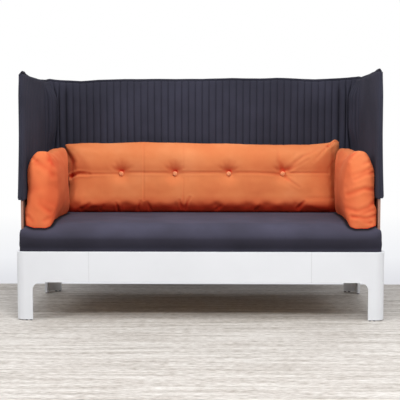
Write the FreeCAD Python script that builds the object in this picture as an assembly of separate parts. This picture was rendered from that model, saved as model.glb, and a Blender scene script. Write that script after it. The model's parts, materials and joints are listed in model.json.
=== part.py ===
"""A high-backed banquette for two or three people, modelled in millimetres.

A white lacquered base of bent plywood stands on four legs that are one piece with its rails. A U-shaped
plywood shell stands inside the base and makes the back and the two wings. A quilted cover hangs over the
shell like a sleeve, open at its hem. A thick seat pad lies on sprung slats inside the base, with a nose that
widens in front of the wings. A long back cushion with tufting buttons and two side cushions lie loose on it.

Everything is drawn with x to the right, y from the face of the front rail towards the back, and z up from
the floor. At the end it is moved so that the origin is on the floor, at the middle of the footprint.
"""
import FreeCAD
import Part

import math
import os

# Bent plywood base
base_width = 1600.0
base_depth = 760.0
base_top = 300.0
base_ply = 12.0
base_corner_radius = 40.0
rail_height = 133.0
leg_width = 73.0
arch_radius = 34.0
end_return = 318.0        # how far a bent end runs along the front before the straight rail starts
joint_gap = 0.3
edge_easing = 1.5

# Nailed glides under the legs
glide_radius = 5.5
glide_height = 4.0
glide_inset = 8.0         # from the free edge of the leg to the middle of the outer glide
glide_spacing = 20.0

# Plywood shell of back and wings
shell_ply = 11.0
shell_corner_radius = 60.0
shell_top = 1062.0
shell_setback = 48.0      # front edge of the wings behind the face of the front rail
shell_tip_radius = 24.0
side_packing = 5.0        # thickness of the strips between the wings and the sides of the base
packing_sink = 6.0        # top of those strips below the top of the base

# Deck inside the base
seat_sink = 28.0          # top of the slats below the top of the base
slat_thickness = 15.0
slat_width = 70.0
slat_pitch = 114.0
ledger_width = 22.0
ledger_height = 40.0
beam_width = 30.0
beam_height = 44.0
cleat_length = 40.0
cleat_height = 16.0
splice_length = 150.0
splice_thickness = 12.0
splice_margin = 3.0       # between a splice plate and the ledger above it or the rail's lower edge
splice_screw_offset = 37.5    # of a splice's screws from its joint, to either side
corner_block_leg = 52.0

# Countersunk screws, drawn with flat sides
screw_sides = 8
screw_radius = 2.2
screw_head_radius = 4.4
screw_head_depth = 2.2
screw_clearance = 0.15
screw_end_cover = 3.0     # wood left in front of a screw's point
ledger_screw_pitch = 420.0

# Quilted cover
quilt_thickness = 9.0     # at the crest of a channel
quilt_seam_thickness = 6.0
quilt_pitch = 34.5
cover_gap = 0.4
cover_tape = 5.0
inner_hem = 510.0
outer_hem = 526.0
hem_flare = 8.0           # the outer layer hangs this much further out at its hem
lip_height = 16.0
lip_thickness = 3.0
lip_front = 4.0           # how far the lip stands out in front of the wings
ear_height = 3.0
ear_length = 34.0

# Seat pad
seat_height = 418.0
seat_crown = 7.0
seat_front_radius = 78.0
seat_back_radius = 26.0
seat_side_drop = 45.0     # of the top at the very ends of the nose
seat_end_slope = [(0.0, 1.0), (2.6, 0.5), (7.0, 0.2), (14.0, 0.06), (30.0, 0.0)]    # inset, share of the drop
seat_nose_depth = 24.0    # of the wider part in front of the wings
pad_gap = 0.4             # between pads and the hard pieces or other pads
wing_gap = 2.0            # between a pad and the quilting beside it
side_gap = 7.0            # between a side cushion, which leans inwards a little, and the wing's quilting

# Back cushion
back_length = 1364.0
back_height = 356.0
back_thickness = 122.0
back_edge_radius = 24.0
back_taper = 190.0        # length of the tapered stretch at each end
back_end_thickness = 18.0
back_end_lean = 14.0      # of the end seams towards the back
back_end_draw = 12.0      # how far the end seams are drawn in at mid height
tuft_count = 4
tuft_pitch = 267.0
tuft_height = 201.0       # above the cushion's lowest line
tuft_depth = 15.0
tuft_spread = 58.0
tuft_brow = 22.0          # width of the steep part of a tuft's dimple
tuft_brow_depth = 9.0
button_radius = 10.5
button_thickness = 5.0
button_bevel = 2.5
twine_radius = 1.0
twine_clearance = 0.2

# Side cushions
side_length = 600.0
side_height = 342.0
side_thickness = 126.0
side_edge_radius = 40.0
side_front_setback = 42.0
side_front_width = 112.0
side_front_round = 34.0
side_front_sag = 14.0     # how far the front end hangs down over the roll of the seat
side_rear_width = 52.0
side_rear_round = 14.0
side_rear_lean = 16.0     # of the slack end towards the wing
side_rear_lift = 20.0
side_full_share = 0.42    # how far along it is thickest
side_rear_drop = 1.5      # of the top's rear corner below the highest line
side_front_drop = 5.0     # of the top's front corner and its middle
side_low_inset = 4.0      # of the lowest corner at the front behind the front end
side_corner_inset = 34.0  # of the other corners
cushion_sink = 6.0        # how far the loose cushions press into the crown of the seat

# Sizes that follow from those above
half_width = base_width / 2
rail_bottom = base_top - rail_height
inner_x = half_width - base_ply
inner_back = base_depth - base_ply
inner_corner_radius = base_corner_radius - base_ply
joint_x = half_width - end_return
deck_top = base_top - seat_sink
ledger_top = deck_top - slat_thickness
ledger_bottom = ledger_top - ledger_height
shell_face_x = inner_x - side_packing
shell_x = shell_face_x - shell_ply
shell_back = inner_back - shell_ply
shell_inner_radius = shell_corner_radius - shell_ply
quilt_top = shell_top + cover_gap + cover_tape
cover_front = shell_setback - cover_gap - cover_tape
wing_x = shell_x - cover_gap - quilt_thickness
wing_back = shell_back - cover_gap - quilt_thickness
pad_bottom = deck_top + pad_gap
cushion_back = wing_back - wing_gap
cushion_x = wing_x - wing_gap
side_x = wing_x - side_gap - side_thickness / 2
cushion_corner_radius = shell_inner_radius - cover_gap - quilt_thickness - wing_gap
cushion_bottom = seat_height - cushion_sink
side_bottom = cushion_bottom - side_front_sag
overall_depth = inner_back + cover_gap + quilt_thickness + hem_flare
tuft_z = cushion_bottom + tuft_height
back_y = cushion_back - back_thickness / 2

TO_ORIGIN = FreeCAD.Vector(0, -overall_depth / 2, 0)
UP = FreeCAD.Vector(0, 0, 1)
OUT_OF_WAY = 50.0         # how far a cutting tool runs past what it cuts


def vec(x, y, z):
    return FreeCAD.Vector(x, y, z)


def block(x0, x1, y0, y1, z0, z1):
    """A box between two corners."""
    return Part.makeBox(x1 - x0, y1 - y0, z1 - z0, vec(x0, y0, z0))


def arc_through(*points):
    return Part.Arc(*points).toShape()


def flat_face(points):
    return Part.Face(Part.makePolygon(points + points[:1]))


def mirrored(shape):
    """The same piece on the other side of the banquette."""
    return shape.mirror(vec(0, 0, 0), vec(1, 0, 0))


def on_both_sides(shape):
    return [shape, mirrored(shape)]


def rounded(shape, radius, chosen):
    """The shape with a radius on each edge that chosen(edge) picks."""
    return shape.makeFillet(radius, [e for e in shape.Edges if chosen(e)])


def eased(shape, chosen):
    """The shape with a small bevel on each edge that chosen(edge) picks."""
    return shape.makeChamfer(edge_easing, [e for e in shape.Edges if chosen(e)])


def is_upright(edge):
    ends = [v.Point for v in edge.Vertexes]
    return len(ends) == 2 and abs(ends[0].x - ends[1].x) + abs(ends[0].y - ends[1].y) < 1e-6


def upright_box(x, y0, y1, z0, z1, radius, rounds_front=True):
    """A box from -x to x whose upright edges are rounded, at the back or at back and front."""
    middle = (y0 + y1) / 2
    return rounded(block(-x, x, y0, y1, z0, z1), radius,
                   lambda e: is_upright(e) and (rounds_front or e.CenterOfMass.y > middle))


def u_band(x, back, radius, thickness, front, z0, z1):
    """A U-shaped wall, open to the front. x, back and radius belong to its outer face."""
    outer = upright_box(x, front, back, z0, z1, radius, rounds_front=False)
    inner = upright_box(x - thickness, front - OUT_OF_WAY, back - thickness, z0 - 1, z1 + 1,
                        radius - thickness, rounds_front=False)
    return outer.cut(inner)


# Base

def arch(width, thickness_axis):
    """The tool that cuts the opening between two legs, as wide as asked, along x or y."""
    low = -OUT_OF_WAY
    deep = base_depth + base_width
    if thickness_axis == "y":
        tool = block(-width / 2, width / 2, -deep, deep, low, rail_bottom)
    else:
        middle = base_depth / 2
        tool = block(-deep, deep, middle - width / 2, middle + width / 2, low, rail_bottom)
    return rounded(tool, arch_radius, lambda e: e.BoundBox.ZLength < 1e-6
                   and abs(e.CenterOfMass.z - rail_bottom) < 1e-6
                   and (e.BoundBox.YLength > e.BoundBox.XLength) == (thickness_axis == "y"))


def base_ring():
    """The whole bent ring with its legs, before it is divided at the joints."""
    ring = upright_box(half_width, 0, base_depth, glide_height, base_top, base_corner_radius)
    hollow = upright_box(inner_x, base_ply, inner_back, 0, base_top + 1, inner_corner_radius)
    ring = ring.cut(hollow)
    ring = eased(ring, lambda e: abs(e.BoundBox.ZMin - base_top) < 1e-6)
    ring = ring.cut(arch(base_width - 2 * leg_width, "y"))
    return ring.cut(arch(base_depth - 2 * leg_width, "x"))


def divide_ring(ring):
    """The two bent ends and the two straight rails."""
    end_tool = block(joint_x, base_width, -OUT_OF_WAY, base_depth + OUT_OF_WAY, -1, base_top + 1)
    middle = joint_x - joint_gap
    front_tool = block(-middle, middle, -OUT_OF_WAY, base_depth / 2, -1, base_top + 1)
    back_tool = block(-middle, middle, base_depth / 2, base_depth + OUT_OF_WAY, -1, base_top + 1)
    right_end = ring.common(end_tool)
    return {"left_end_frame": mirrored(right_end), "right_end_frame": right_end,
            "front_rail": ring.common(front_tool), "rear_rail": ring.common(back_tool)}


def glides():
    """Three glides under each leg: two under its front or back part, one under its side part."""
    middle_of_ply = base_ply / 2
    along_front = [half_width - leg_width + glide_inset + n * glide_spacing for n in range(2)]
    places = [(x, middle_of_ply) for x in along_front]
    places.append((half_width - middle_of_ply, leg_width - glide_inset))
    places += [(x, base_depth - y) for x, y in places]
    right = [Part.makeCylinder(glide_radius, glide_height, vec(x, y, 0)) for x, y in places]
    return Part.makeCompound([g for r in right for g in on_both_sides(r)])


# Screws

def flat_sided(sections):
    """A solid with flat sides about the z axis, through (radius, height) sections from below upwards."""
    turns = [2 * math.pi * (n + 0.5) / screw_sides for n in range(screw_sides)]
    rings = [[vec(r * math.cos(t), r * math.sin(t), z) for t in turns] for r, z in sections]
    faces = [flat_face(rings[0][::-1]), flat_face(rings[-1])]
    for low, high in zip(rings, rings[1:]):
        faces += [flat_face([low[n - 1], low[n], high[n], high[n - 1]]) for n in range(screw_sides)]
    return Part.Solid(Part.Shell(faces))


def screw(head, direction, length, grow=0.0):
    """A countersunk screw whose head is flush with the face at head. grow makes it a hole tool."""
    made = flat_sided([(screw_head_radius + grow, -grow), (screw_radius + grow, screw_head_depth),
                       (screw_radius + grow, length + grow)])
    made.Placement = FreeCAD.Placement(vec(*head), FreeCAD.Rotation(UP, direction))
    return made


def evenly(length, pitch, margin):
    """Places from -length/2 to length/2, a margin in from each end, about a pitch apart."""
    reach = length - 2 * margin
    count = max(1, round(reach / pitch))
    return [-reach / 2 + n * reach / count for n in range(count + 1)]


def drilled(shape, holes):
    return shape.cut(Part.makeCompound(holes)) if holes else shape


# Deck

def front_ledger_half():
    return inner_x - inner_corner_radius - splice_margin


def rear_ledger_half():
    return shell_x - shell_inner_radius - splice_margin


def side_ledger_span():
    return shell_setback, shell_back - shell_inner_radius - splice_margin


def ledgers():
    """Battens that carry the slats, along the front rail and round the foot of the shell."""
    z0, z1 = ledger_bottom, ledger_top
    front = block(-front_ledger_half(), front_ledger_half(), base_ply, base_ply + ledger_width, z0, z1)
    rear = block(-rear_ledger_half(), rear_ledger_half(), shell_back - ledger_width, shell_back, z0, z1)
    y0, y1 = side_ledger_span()
    right = block(shell_x - ledger_width, shell_x, y0, y1, z0, z1)
    return {"front_ledger": front, "rear_ledger": rear,
            "right_ledger": right, "left_ledger": mirrored(right)}


def packings():
    """Strips that fill the space between the straight part of each wing and the side of the base."""
    y0, y1 = side_ledger_span()
    right = block(shell_face_x, inner_x, y0, y1, ledger_bottom, base_top - packing_sink)
    return {"right_packing": right, "left_packing": mirrored(right)}


def ledger_screws(grow=0.0):
    """Screws through each ledger, and what stands between it and the base, into the base."""
    z = (ledger_bottom + ledger_top) / 2
    front_length = ledger_width + base_ply - screw_end_cover
    rear_length = front_length + shell_ply
    side_screw_length = rear_length + side_packing
    front = [screw((x, base_ply + ledger_width, z), vec(0, -1, 0), front_length, grow)
             for x in evenly(2 * front_ledger_half(), ledger_screw_pitch, ledger_height)]
    rear = [screw((x, shell_back - ledger_width, z), vec(0, 1, 0), rear_length, grow)
            for x in evenly(2 * rear_ledger_half(), ledger_screw_pitch, ledger_height)]
    y0, y1 = side_ledger_span()
    right = [screw((shell_x - ledger_width, (y0 + y1) / 2 + y, z), vec(1, 0, 0), side_screw_length, grow)
             for y in evenly(y1 - y0, ledger_screw_pitch, ledger_height)]
    return front + rear + [s for r in right for s in on_both_sides(r)]


def splice_span():
    return rail_bottom + splice_margin, ledger_bottom - splice_margin


def splice_plates():
    """Plates behind the four joints of the base."""
    z0, z1 = splice_span()
    x0, x1 = joint_x - splice_length / 2, joint_x + splice_length / 2
    front = block(x0, x1, base_ply, base_ply + splice_thickness, z0, z1)
    rear = block(x0, x1, inner_back - splice_thickness, inner_back, z0, z1)
    return {"front_right_splice": front, "front_left_splice": mirrored(front),
            "rear_right_splice": rear, "rear_left_splice": mirrored(rear)}


def splice_screws(grow=0.0):
    """A screw on each side of each joint."""
    z = sum(splice_span()) / 2
    length = splice_thickness + base_ply - screw_end_cover
    found = []
    for x in [joint_x - splice_screw_offset, joint_x + splice_screw_offset]:
        front = screw((x, base_ply + splice_thickness, z), vec(0, -1, 0), length, grow)
        rear = screw((x, inner_back - splice_thickness, z), vec(0, 1, 0), length, grow)
        found += on_both_sides(front) + on_both_sides(rear)
    return found


def corner_blocks():
    """Three-cornered blocks glued into the bends of the base, with a bevel that clears the bend."""
    z0, z1 = splice_span()
    bevel = inner_corner_radius
    reach = corner_block_leg

    def one(y, back):
        outline = [vec(inner_x - bevel, y, z0), vec(inner_x, y + back * bevel, z0),
                   vec(inner_x, y + back * reach, z0), vec(inner_x - reach, y, z0)]
        return flat_face(outline).extrude(UP * (z1 - z0))

    front, rear = one(base_ply, 1), one(inner_back, -1)
    return {"front_right_corner_block": front, "front_left_corner_block": mirrored(front),
            "rear_right_corner_block": rear, "rear_left_corner_block": mirrored(rear)}


def slat_places():
    reach = 2 * rear_ledger_half() - slat_width
    count = int(reach / slat_pitch)
    return [(n - count / 2) * slat_pitch for n in range(count + 1)]


def slats():
    """Slats from the front ledger to the rear one, with eased upper edges."""
    made = {}
    for number, x in enumerate(slat_places(), start=1):
        slat = block(x - slat_width / 2, x + slat_width / 2, base_ply + joint_gap,
                     shell_back - joint_gap, ledger_top, deck_top)
        made[f"slat_{number:02d}"] = eased(slat, lambda e: e.BoundBox.YLength > slat_width
                                           and abs(e.CenterOfMass.z - deck_top) < 1e-6)
    return made


def centre_beam():
    reach = shell_x - ledger_width
    middle = base_depth / 2
    return block(-reach, reach, middle - beam_width / 2, middle + beam_width / 2,
                 ledger_top - beam_height, ledger_top)


def beam_cleats():
    """Blocks on the side ledgers that carry the ends of the beam."""
    end = shell_x - ledger_width
    middle = base_depth / 2
    top = ledger_top - beam_height
    cleat = block(end - cleat_length, end, middle - beam_width, middle + beam_width, top - cleat_height, top)
    back_plate = block(end, shell_x, middle - beam_width, middle + beam_width,
                       top - cleat_height, ledger_bottom)
    return Part.makeCompound(on_both_sides(cleat.fuse(back_plate).removeSplitter()))


# Shell

def shell():
    """Back and wings, bent from one board, with rounded tips at the top of the wings."""
    wall = u_band(shell_face_x, inner_back, shell_corner_radius, shell_ply, shell_setback,
                  ledger_bottom, shell_top)
    radius = shell_tip_radius
    corner = block(-base_width, base_width, shell_setback - 1, shell_setback + radius,
                   shell_top - radius, shell_top + 1)
    tip = Part.makeCylinder(radius, 2 * base_width,
                            vec(-base_width, shell_setback + radius, shell_top - radius), vec(1, 0, 0))
    return wall.cut(corner.cut(tip))


# Quilted cover

def u_point(share, x, back, radius, front):
    """A point at that share of the way round a U from its left front end, and the way out of the U."""
    wing = back - radius - front
    bend = math.pi * radius / 2
    across = 2 * (x - radius)
    s = share * (2 * wing + 2 * bend + across)
    if s <= wing:
        return vec(-x, front + s, 0), vec(-1, 0, 0)
    if s >= wing + 2 * bend + across:
        return vec(x, front + (2 * wing + 2 * bend + across - s), 0), vec(1, 0, 0)
    if wing + bend <= s <= wing + bend + across:
        return vec(-x + radius + (s - wing - bend), back, 0), vec(0, 1, 0)
    left = s < wing + bend
    turn = (s - wing) / radius if left else (wing + 2 * bend + across - s) / radius
    way = vec(-math.cos(turn) if left else math.cos(turn), math.sin(turn), 0)
    centre = vec(-x + radius if left else x - radius, back - radius, 0)
    return centre + way * radius, way


def smooth_u(x, back, radius, front):
    """The edges of a plain U, from its right front end round to its left one."""
    cut = radius * (1 - math.sqrt(0.5))
    return [Part.makeLine(vec(x, front, 0), vec(x, back - radius, 0)),
            arc_through(vec(x, back - radius, 0), vec(x - cut, back - cut, 0), vec(x - radius, back, 0)),
            Part.makeLine(vec(x - radius, back, 0), vec(-x + radius, back, 0)),
            arc_through(vec(-x + radius, back, 0), vec(-x + cut, back - cut, 0),
                     vec(-x, back - radius, 0)),
            Part.makeLine(vec(-x, back - radius, 0), vec(-x, front, 0))]


def channel_count():
    x, back = shell_x - cover_gap, shell_back - cover_gap
    length = 2 * (back - shell_inner_radius - cover_front) + math.pi * shell_inner_radius
    return round((length + 2 * (x - shell_inner_radius)) / quilt_pitch)


def quilt_outline(side, away, z):
    """The closed outline of one quilted layer at a height. side is 1 outside the shell and -1 inside it,
    and away is how far the layer hangs off the plywood. The free face bulges between the seams."""
    if side > 0:
        x, back, radius = shell_face_x + away, inner_back + away, shell_corner_radius + away
    else:
        x, back, radius = shell_x - away, shell_back - away, shell_inner_radius - away
    seam = side * quilt_seam_thickness
    bulge = side * (quilt_thickness - quilt_seam_thickness)
    face = (x + seam, back + seam, radius + seam, cover_front)
    count = channel_count()
    edges = []
    for n in range(count):
        start, _ = u_point(n / count, *face)
        crest, way = u_point((n + 0.5) / count, *face)
        end, _ = u_point((n + 1) / count, *face)
        edges.append(arc_through(start, crest + way * bulge, end))
    first, last = edges[0].Vertexes[0].Point, edges[-1].Vertexes[-1].Point
    edges.append(Part.makeLine(last, vec(x, cover_front, 0)))
    edges += smooth_u(x, back, radius, cover_front)
    edges.append(Part.makeLine(vec(-x, cover_front, 0), first))
    wire = Part.Wire(edges)
    wire.translate(vec(0, 0, z))
    return wire


def cover_inner_layer():
    outline = quilt_outline(-1, cover_gap, inner_hem)
    return Part.Face(outline).extrude(UP * (quilt_top - inner_hem))


def cover_outer_layer():
    """The outer layer lies on the shell at the top and hangs away from it at the hem."""
    hem = quilt_outline(1, cover_gap + hem_flare, outer_hem)
    top = quilt_outline(1, cover_gap, quilt_top)
    return Part.makeLoft([hem, top], True, True)


def cover_edge_tape():
    """The strip that joins the two layers over the top of the shell and down the front of the wings."""
    inner, outer = shell_x - cover_gap, shell_face_x + cover_gap
    top = u_band(outer, inner_back + cover_gap, shell_corner_radius + cover_gap, outer - inner,
                 cover_front, shell_top + cover_gap, quilt_top)
    outline = [vec(inner, cover_front, outer_hem), vec(outer + hem_flare, cover_front, outer_hem),
               vec(outer, cover_front, quilt_top), vec(inner, cover_front, quilt_top)]
    down = flat_face(outline).extrude(vec(0, cover_tape, 0))
    return top.fuse(on_both_sides(down)).removeSplitter()


def cover_seam_lip():
    """The seam allowance that stands out in the middle of the tape, all along the top and as a low ridge down
    the front of the wings, with a small ear at each front corner."""
    x = shell_x + (shell_ply + lip_thickness) / 2
    back = x - shell_face_x + inner_back
    radius = x - shell_face_x + shell_corner_radius
    top = quilt_top + lip_height
    lip = u_band(x, back, radius, lip_thickness, cover_front, quilt_top, top)
    front = cover_front - lip_front
    outline = [vec(x, front, outer_hem), vec(x, front, top + ear_height),
               vec(x, cover_front, top + ear_height), vec(x, cover_front + ear_length, top),
               vec(x, cover_front + ear_length, quilt_top), vec(x, cover_front, quilt_top),
               vec(x, cover_front, outer_hem)]
    ear = flat_face(outline).extrude(vec(-lip_thickness, 0, 0))
    return lip.fuse(on_both_sides(ear)).removeSplitter()


# Seat pad

def seat_section(x, drop):
    """The seat's outline from front to back at one place across it. drop lowers the top there."""
    y0, y1 = base_ply + pad_gap, cushion_back
    z0 = pad_bottom
    z1 = seat_height - drop
    rf, rb = seat_front_radius, seat_back_radius
    cut = 1 - math.sqrt(0.5)
    crown = vec(x, (y0 + y1) / 2, z1 + seat_crown)
    return Part.Wire([
        Part.makeLine(vec(x, y1, z0), vec(x, y0, z0)),
        Part.makeLine(vec(x, y0, z0), vec(x, y0, z1 - rf)),
        arc_through(vec(x, y0, z1 - rf), vec(x, y0 + rf * cut, z1 - rf * cut), vec(x, y0 + rf, z1)),
        arc_through(vec(x, y0 + rf, z1), crown, vec(x, y1 - rb, z1)),
        arc_through(vec(x, y1 - rb, z1), vec(x, y1 - rb * cut, z1 - rb * cut), vec(x, y1, z1 - rb)),
        Part.makeLine(vec(x, y1, z1 - rb), vec(x, y1, z0))])


def seat_pad():
    """A crowned pad with a drawn-down edge, notched at the sides so that its nose passes the wings."""
    reach = inner_x - pad_gap
    places = [(inset - reach, share) for inset, share in seat_end_slope]
    places += [(reach - inset, share) for inset, share in reversed(seat_end_slope)]
    body = Part.makeLoft([seat_section(x, share * seat_side_drop) for x, share in places], True, True)
    front, back = base_ply + pad_gap, cushion_back
    z0, z1 = pad_bottom - 1, seat_height + OUT_OF_WAY
    plan = upright_box(reach, front, back, z0, z1, inner_corner_radius)
    between_wings = upright_box(cushion_x, front, back, z0, z1, cushion_corner_radius, rounds_front=False)
    nose = block(-reach, reach, front, front + seat_nose_depth, z0, z1)
    return body.common(plan).common(between_wings.fuse(nose))


# Loose cushions

def crowned_edges(to_3d, height, thickness, edge):
    """Four tangent arcs: two crowned faces and two rolled edges. to_3d turns (across, up) into a point."""
    c = height / 2 - edge
    crown = (thickness ** 2 / 4 + c ** 2 - edge ** 2) / (thickness - 2 * edge)
    share = crown / (crown - edge)
    u, v = (crown - thickness / 2) * (share - 1), c * share
    t, h = thickness / 2, height / 2
    arcs = [((-u, -v), (-t, 0), (-u, v)), ((-u, v), (0, h), (u, v)),
            ((u, v), (t, 0), (u, -v)), ((u, -v), (0, -h), (-u, -v))]
    return [arc_through(*[to_3d(*p) for p in arc]) for arc in arcs]


def bend(start, end, leaves):
    """An arc from start to end that leaves start along a unit vector."""
    chord = end.sub(start)
    along = chord.dot(leaves)
    aside = chord - leaves * along
    radius = chord.dot(chord) / (2 * aside.Length)
    half_turn = math.atan2(aside.Length, along)
    outward = aside * (1 / aside.Length)
    middle = start + leaves * (radius * math.sin(half_turn)) + outward * (radius * (1 - math.cos(half_turn)))
    return arc_through(start, middle, end)


def crossed(*profiles):
    """What several profiles have in common, each given as its edges and the way it is pushed through."""
    bodies = [Part.Face(Part.Wire(Part.sortEdges(edges)[0])).extrude(way) for edges, way in profiles]
    shape = bodies[0]
    for other in bodies[1:]:
        shape = shape.common(other)
    return shape


def settled(cushion):
    """The cushion with its underside shaped by the crowned seat that it rests on."""
    seat = seat_pad()
    seat.translate(UP * pad_gap)
    return cushion.cut(seat)


def back_section():
    """From front to back: a crowned section, pushed along the whole length."""
    middle = cushion_bottom + back_height / 2
    reach = back_length / 2 + 1
    edges = crowned_edges(lambda across, up: vec(-reach, back_y + across, middle + up),
                          back_height, back_thickness, back_edge_radius)
    return edges, vec(2 * reach, 0, 0)


def back_plan():
    """From above: straight along the middle and drawn in to a thin seam at each end."""
    end = back_length / 2
    straight = end - back_taper
    z0 = cushion_bottom - 1
    edges = []
    for side in (-1, 1):
        face = back_y + side * back_thickness / 2
        seam = back_y + back_end_lean + side * back_end_thickness / 2
        edges.append(Part.makeLine(vec(-straight, face, z0), vec(straight, face, z0)))
        for way in (-1, 1):
            edges.append(bend(vec(way * straight, face, z0), vec(way * end, seam, z0), vec(way, 0, 0)))
    for way in (-1, 1):
        seam_y = [back_y + back_end_lean + side * back_end_thickness / 2 for side in (-1, 1)]
        edges.append(Part.makeLine(*[vec(way * end, y, z0) for y in seam_y]))
    return edges, vec(0, 0, back_height + 2)


def back_elevation():
    """From the front: corners that stand out, with the end seams drawn in between them."""
    end = back_length / 2
    y0 = back_y - back_thickness
    low, high = cushion_bottom, cushion_bottom + back_height
    edges = [Part.makeLine(vec(-end, y0, z), vec(end, y0, z)) for z in (low, high)]
    for way in (-1, 1):
        drawn_in = vec(way * (end - back_end_draw), y0, (low + high) / 2)
        edges.append(arc_through(vec(way * end, y0, low), drawn_in, vec(way * end, y0, high)))
    return edges, vec(0, 2 * back_thickness, 0)


def tuft_places():
    return [(n - (tuft_count - 1) / 2) * tuft_pitch for n in range(tuft_count)]


def turned(outline, x):
    """A solid turned from an outline about the line through a tuft from front to back."""
    return flat_face(outline).revolve(vec(x, 0, tuft_z), vec(0, 1, 0), 360)


def tuft_tool(x, side):
    """What a tuft takes out of the cushion's face: a flat seat for the button, and on the front a dimple
    round it with a steep brow and a wide shallow slope."""
    face = back_y + side * back_thickness / 2
    floor = face - side * tuft_depth
    brow = floor + side * tuft_brow_depth
    seat = button_radius + pad_gap
    outline = [vec(x, face + side, tuft_z), vec(x, floor, tuft_z), vec(x + seat, floor, tuft_z)]
    if side < 0:
        outline += [vec(x + tuft_brow, brow, tuft_z), vec(x + tuft_spread, face, tuft_z)]
    outline.append(vec(outline[-1].x, face + side, tuft_z))
    return turned(outline, x)


def button(x, side):
    """A covered button seated flat in its tuft, with a bevelled face on the front and a flat one behind."""
    seat = back_y + side * (back_thickness / 2 - tuft_depth)
    bevel = button_bevel if side < 0 else 0.0
    crest = seat + side * button_thickness
    outline = [vec(x, seat, tuft_z), vec(x + button_radius, seat, tuft_z)]
    if bevel:
        outline.append(vec(x + button_radius, crest - side * bevel, tuft_z))
    outline += [vec(x + button_radius - bevel, crest, tuft_z), vec(x, crest, tuft_z)]
    return turned(outline, x)


def twines(grow=0.0):
    """The tufting twine between each front button and the one behind it."""
    half_length = back_thickness / 2 - tuft_depth + grow
    starts = [vec(x, back_y - half_length, tuft_z) for x in tuft_places()]
    return [Part.makeCylinder(twine_radius + grow, 2 * half_length, start, vec(0, 1, 0)) for start in starts]


def back_cushion():
    """A long cushion, thick in the middle and pinched to a seam at each end, with a row of tufts."""
    body = settled(crossed(back_section(), back_plan(), back_elevation()))
    body = body.cut(Part.makeCompound([tuft_tool(x, side) for x in tuft_places() for side in (-1, 1)]))
    return body.cut(Part.makeCompound(twines(twine_clearance)))


def side_section():
    """From front to back: a crowned section that stands against the wing."""
    middle = side_bottom + side_height / 2
    x = side_x
    edges = crowned_edges(lambda across, up: vec(x + across, side_front_setback - 1, middle + up),
                          side_height, side_thickness, side_edge_radius)
    return edges, vec(0, side_length + 2, 0)


def side_plan():
    """From above: a blunt front end, a full middle and a slack rear end that leans to the wing."""
    x = side_x
    front, rear = side_front_setback, side_front_setback + side_length
    full = front + side_length * side_full_share
    front_half, rear_half = side_front_width / 2, side_rear_width / 2
    z0 = side_bottom - 1
    edges = []
    for side in (-1, 1):
        brow = vec(x + side * front_half, front + side_front_round, z0)
        tail = vec(x + side_rear_lean + side * rear_half, rear - side_rear_round, z0)
        edges.append(arc_through(brow, vec(x + side * side_thickness / 2, full, z0), tail))
    edges.append(arc_through(vec(x - front_half, front + side_front_round, z0), vec(x, front, z0),
                          vec(x + front_half, front + side_front_round, z0)))
    rear_x = x + side_rear_lean
    edges.append(arc_through(vec(rear_x - rear_half, rear - side_rear_round, z0), vec(rear_x, rear, z0),
                          vec(rear_x + rear_half, rear - side_rear_round, z0)))
    return edges, vec(0, 0, side_height + 2)


def side_elevation():
    """From beside: rounded ends, and a top that rises towards the back."""
    x0 = side_x - side_thickness
    front, rear = side_front_setback, side_front_setback + side_length
    low, high = side_bottom, side_bottom + side_height
    inset, middle = side_corner_inset, (low + high) / 2
    low_front = vec(x0, front + side_low_inset, low)
    low_rear = vec(x0, rear - inset, low + side_rear_lift)
    high_front = vec(x0, front + inset, high - side_front_drop)
    high_rear = vec(x0, rear - inset, high - side_rear_drop)
    edges = [Part.makeLine(low_front, low_rear),
             arc_through(high_front, vec(x0, (front + rear) / 2, high - side_front_drop), high_rear),
             arc_through(low_front, vec(x0, front, middle), high_front),
             arc_through(low_rear, vec(x0, rear, middle), high_rear)]
    return edges, vec(2 * side_thickness, 0, 0)


def side_cushion():
    """A cushion on edge along the right wing."""
    return settled(crossed(side_section(), side_plan(), side_elevation()))


# Assembly

def build():
    parts = {}
    ring_parts = divide_ring(base_ring())
    holes = ledger_screws(screw_clearance) + splice_screws(screw_clearance)
    parts.update({name: drilled(piece, holes) for name, piece in ring_parts.items()})
    parts["shell"] = drilled(shell(), holes)
    parts.update({name: drilled(piece, holes) for name, piece in ledgers().items()})
    parts.update({name: drilled(piece, holes) for name, piece in packings().items()})
    parts.update({name: drilled(piece, holes) for name, piece in splice_plates().items()})
    parts.update(slats())
    parts.update(corner_blocks())
    parts["centre_beam"] = centre_beam()
    parts["beam_cleats"] = beam_cleats()
    parts["leg_glides"] = glides()
    parts["ledger_screws"] = Part.makeCompound(ledger_screws())
    parts["splice_screws"] = Part.makeCompound(splice_screws())
    parts["cover_inner_layer"] = cover_inner_layer()
    parts["cover_outer_layer"] = cover_outer_layer()
    parts["cover_edge_tape"] = cover_edge_tape()
    parts["cover_seam_lip"] = cover_seam_lip()
    parts["seat_pad"] = seat_pad()
    parts["back_cushion"] = back_cushion()
    parts["front_buttons"] = Part.makeCompound([button(x, -1) for x in tuft_places()])
    parts["rear_buttons"] = Part.makeCompound([button(x, 1) for x in tuft_places()])
    parts["tufting_twines"] = Part.makeCompound(twines())
    right = side_cushion()
    parts["right_side_cushion"] = right
    parts["left_side_cushion"] = mirrored(right)
    return parts


def main():
    os.makedirs("parts", exist_ok=True)
    for name, shape in build().items():
        shape.translate(TO_ORIGIN)
        for solid in shape.Solids:
            if not solid.isValid() or solid.Volume <= 0:
                print("check", name, solid.isValid(), solid.Volume)
        shape.exportStep(os.path.join("parts", name + ".step"))
        box = shape.BoundBox
        print(f"{name}: {len(shape.Solids)} solids, {shape.Volume / 1e6:.3f} litres, "
              f"x {box.XMin:.1f} to {box.XMax:.1f}, y {box.YMin:.1f} to {box.YMax:.1f}, "
              f"z {box.ZMin:.1f} to {box.ZMax:.1f}")


main()
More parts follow.
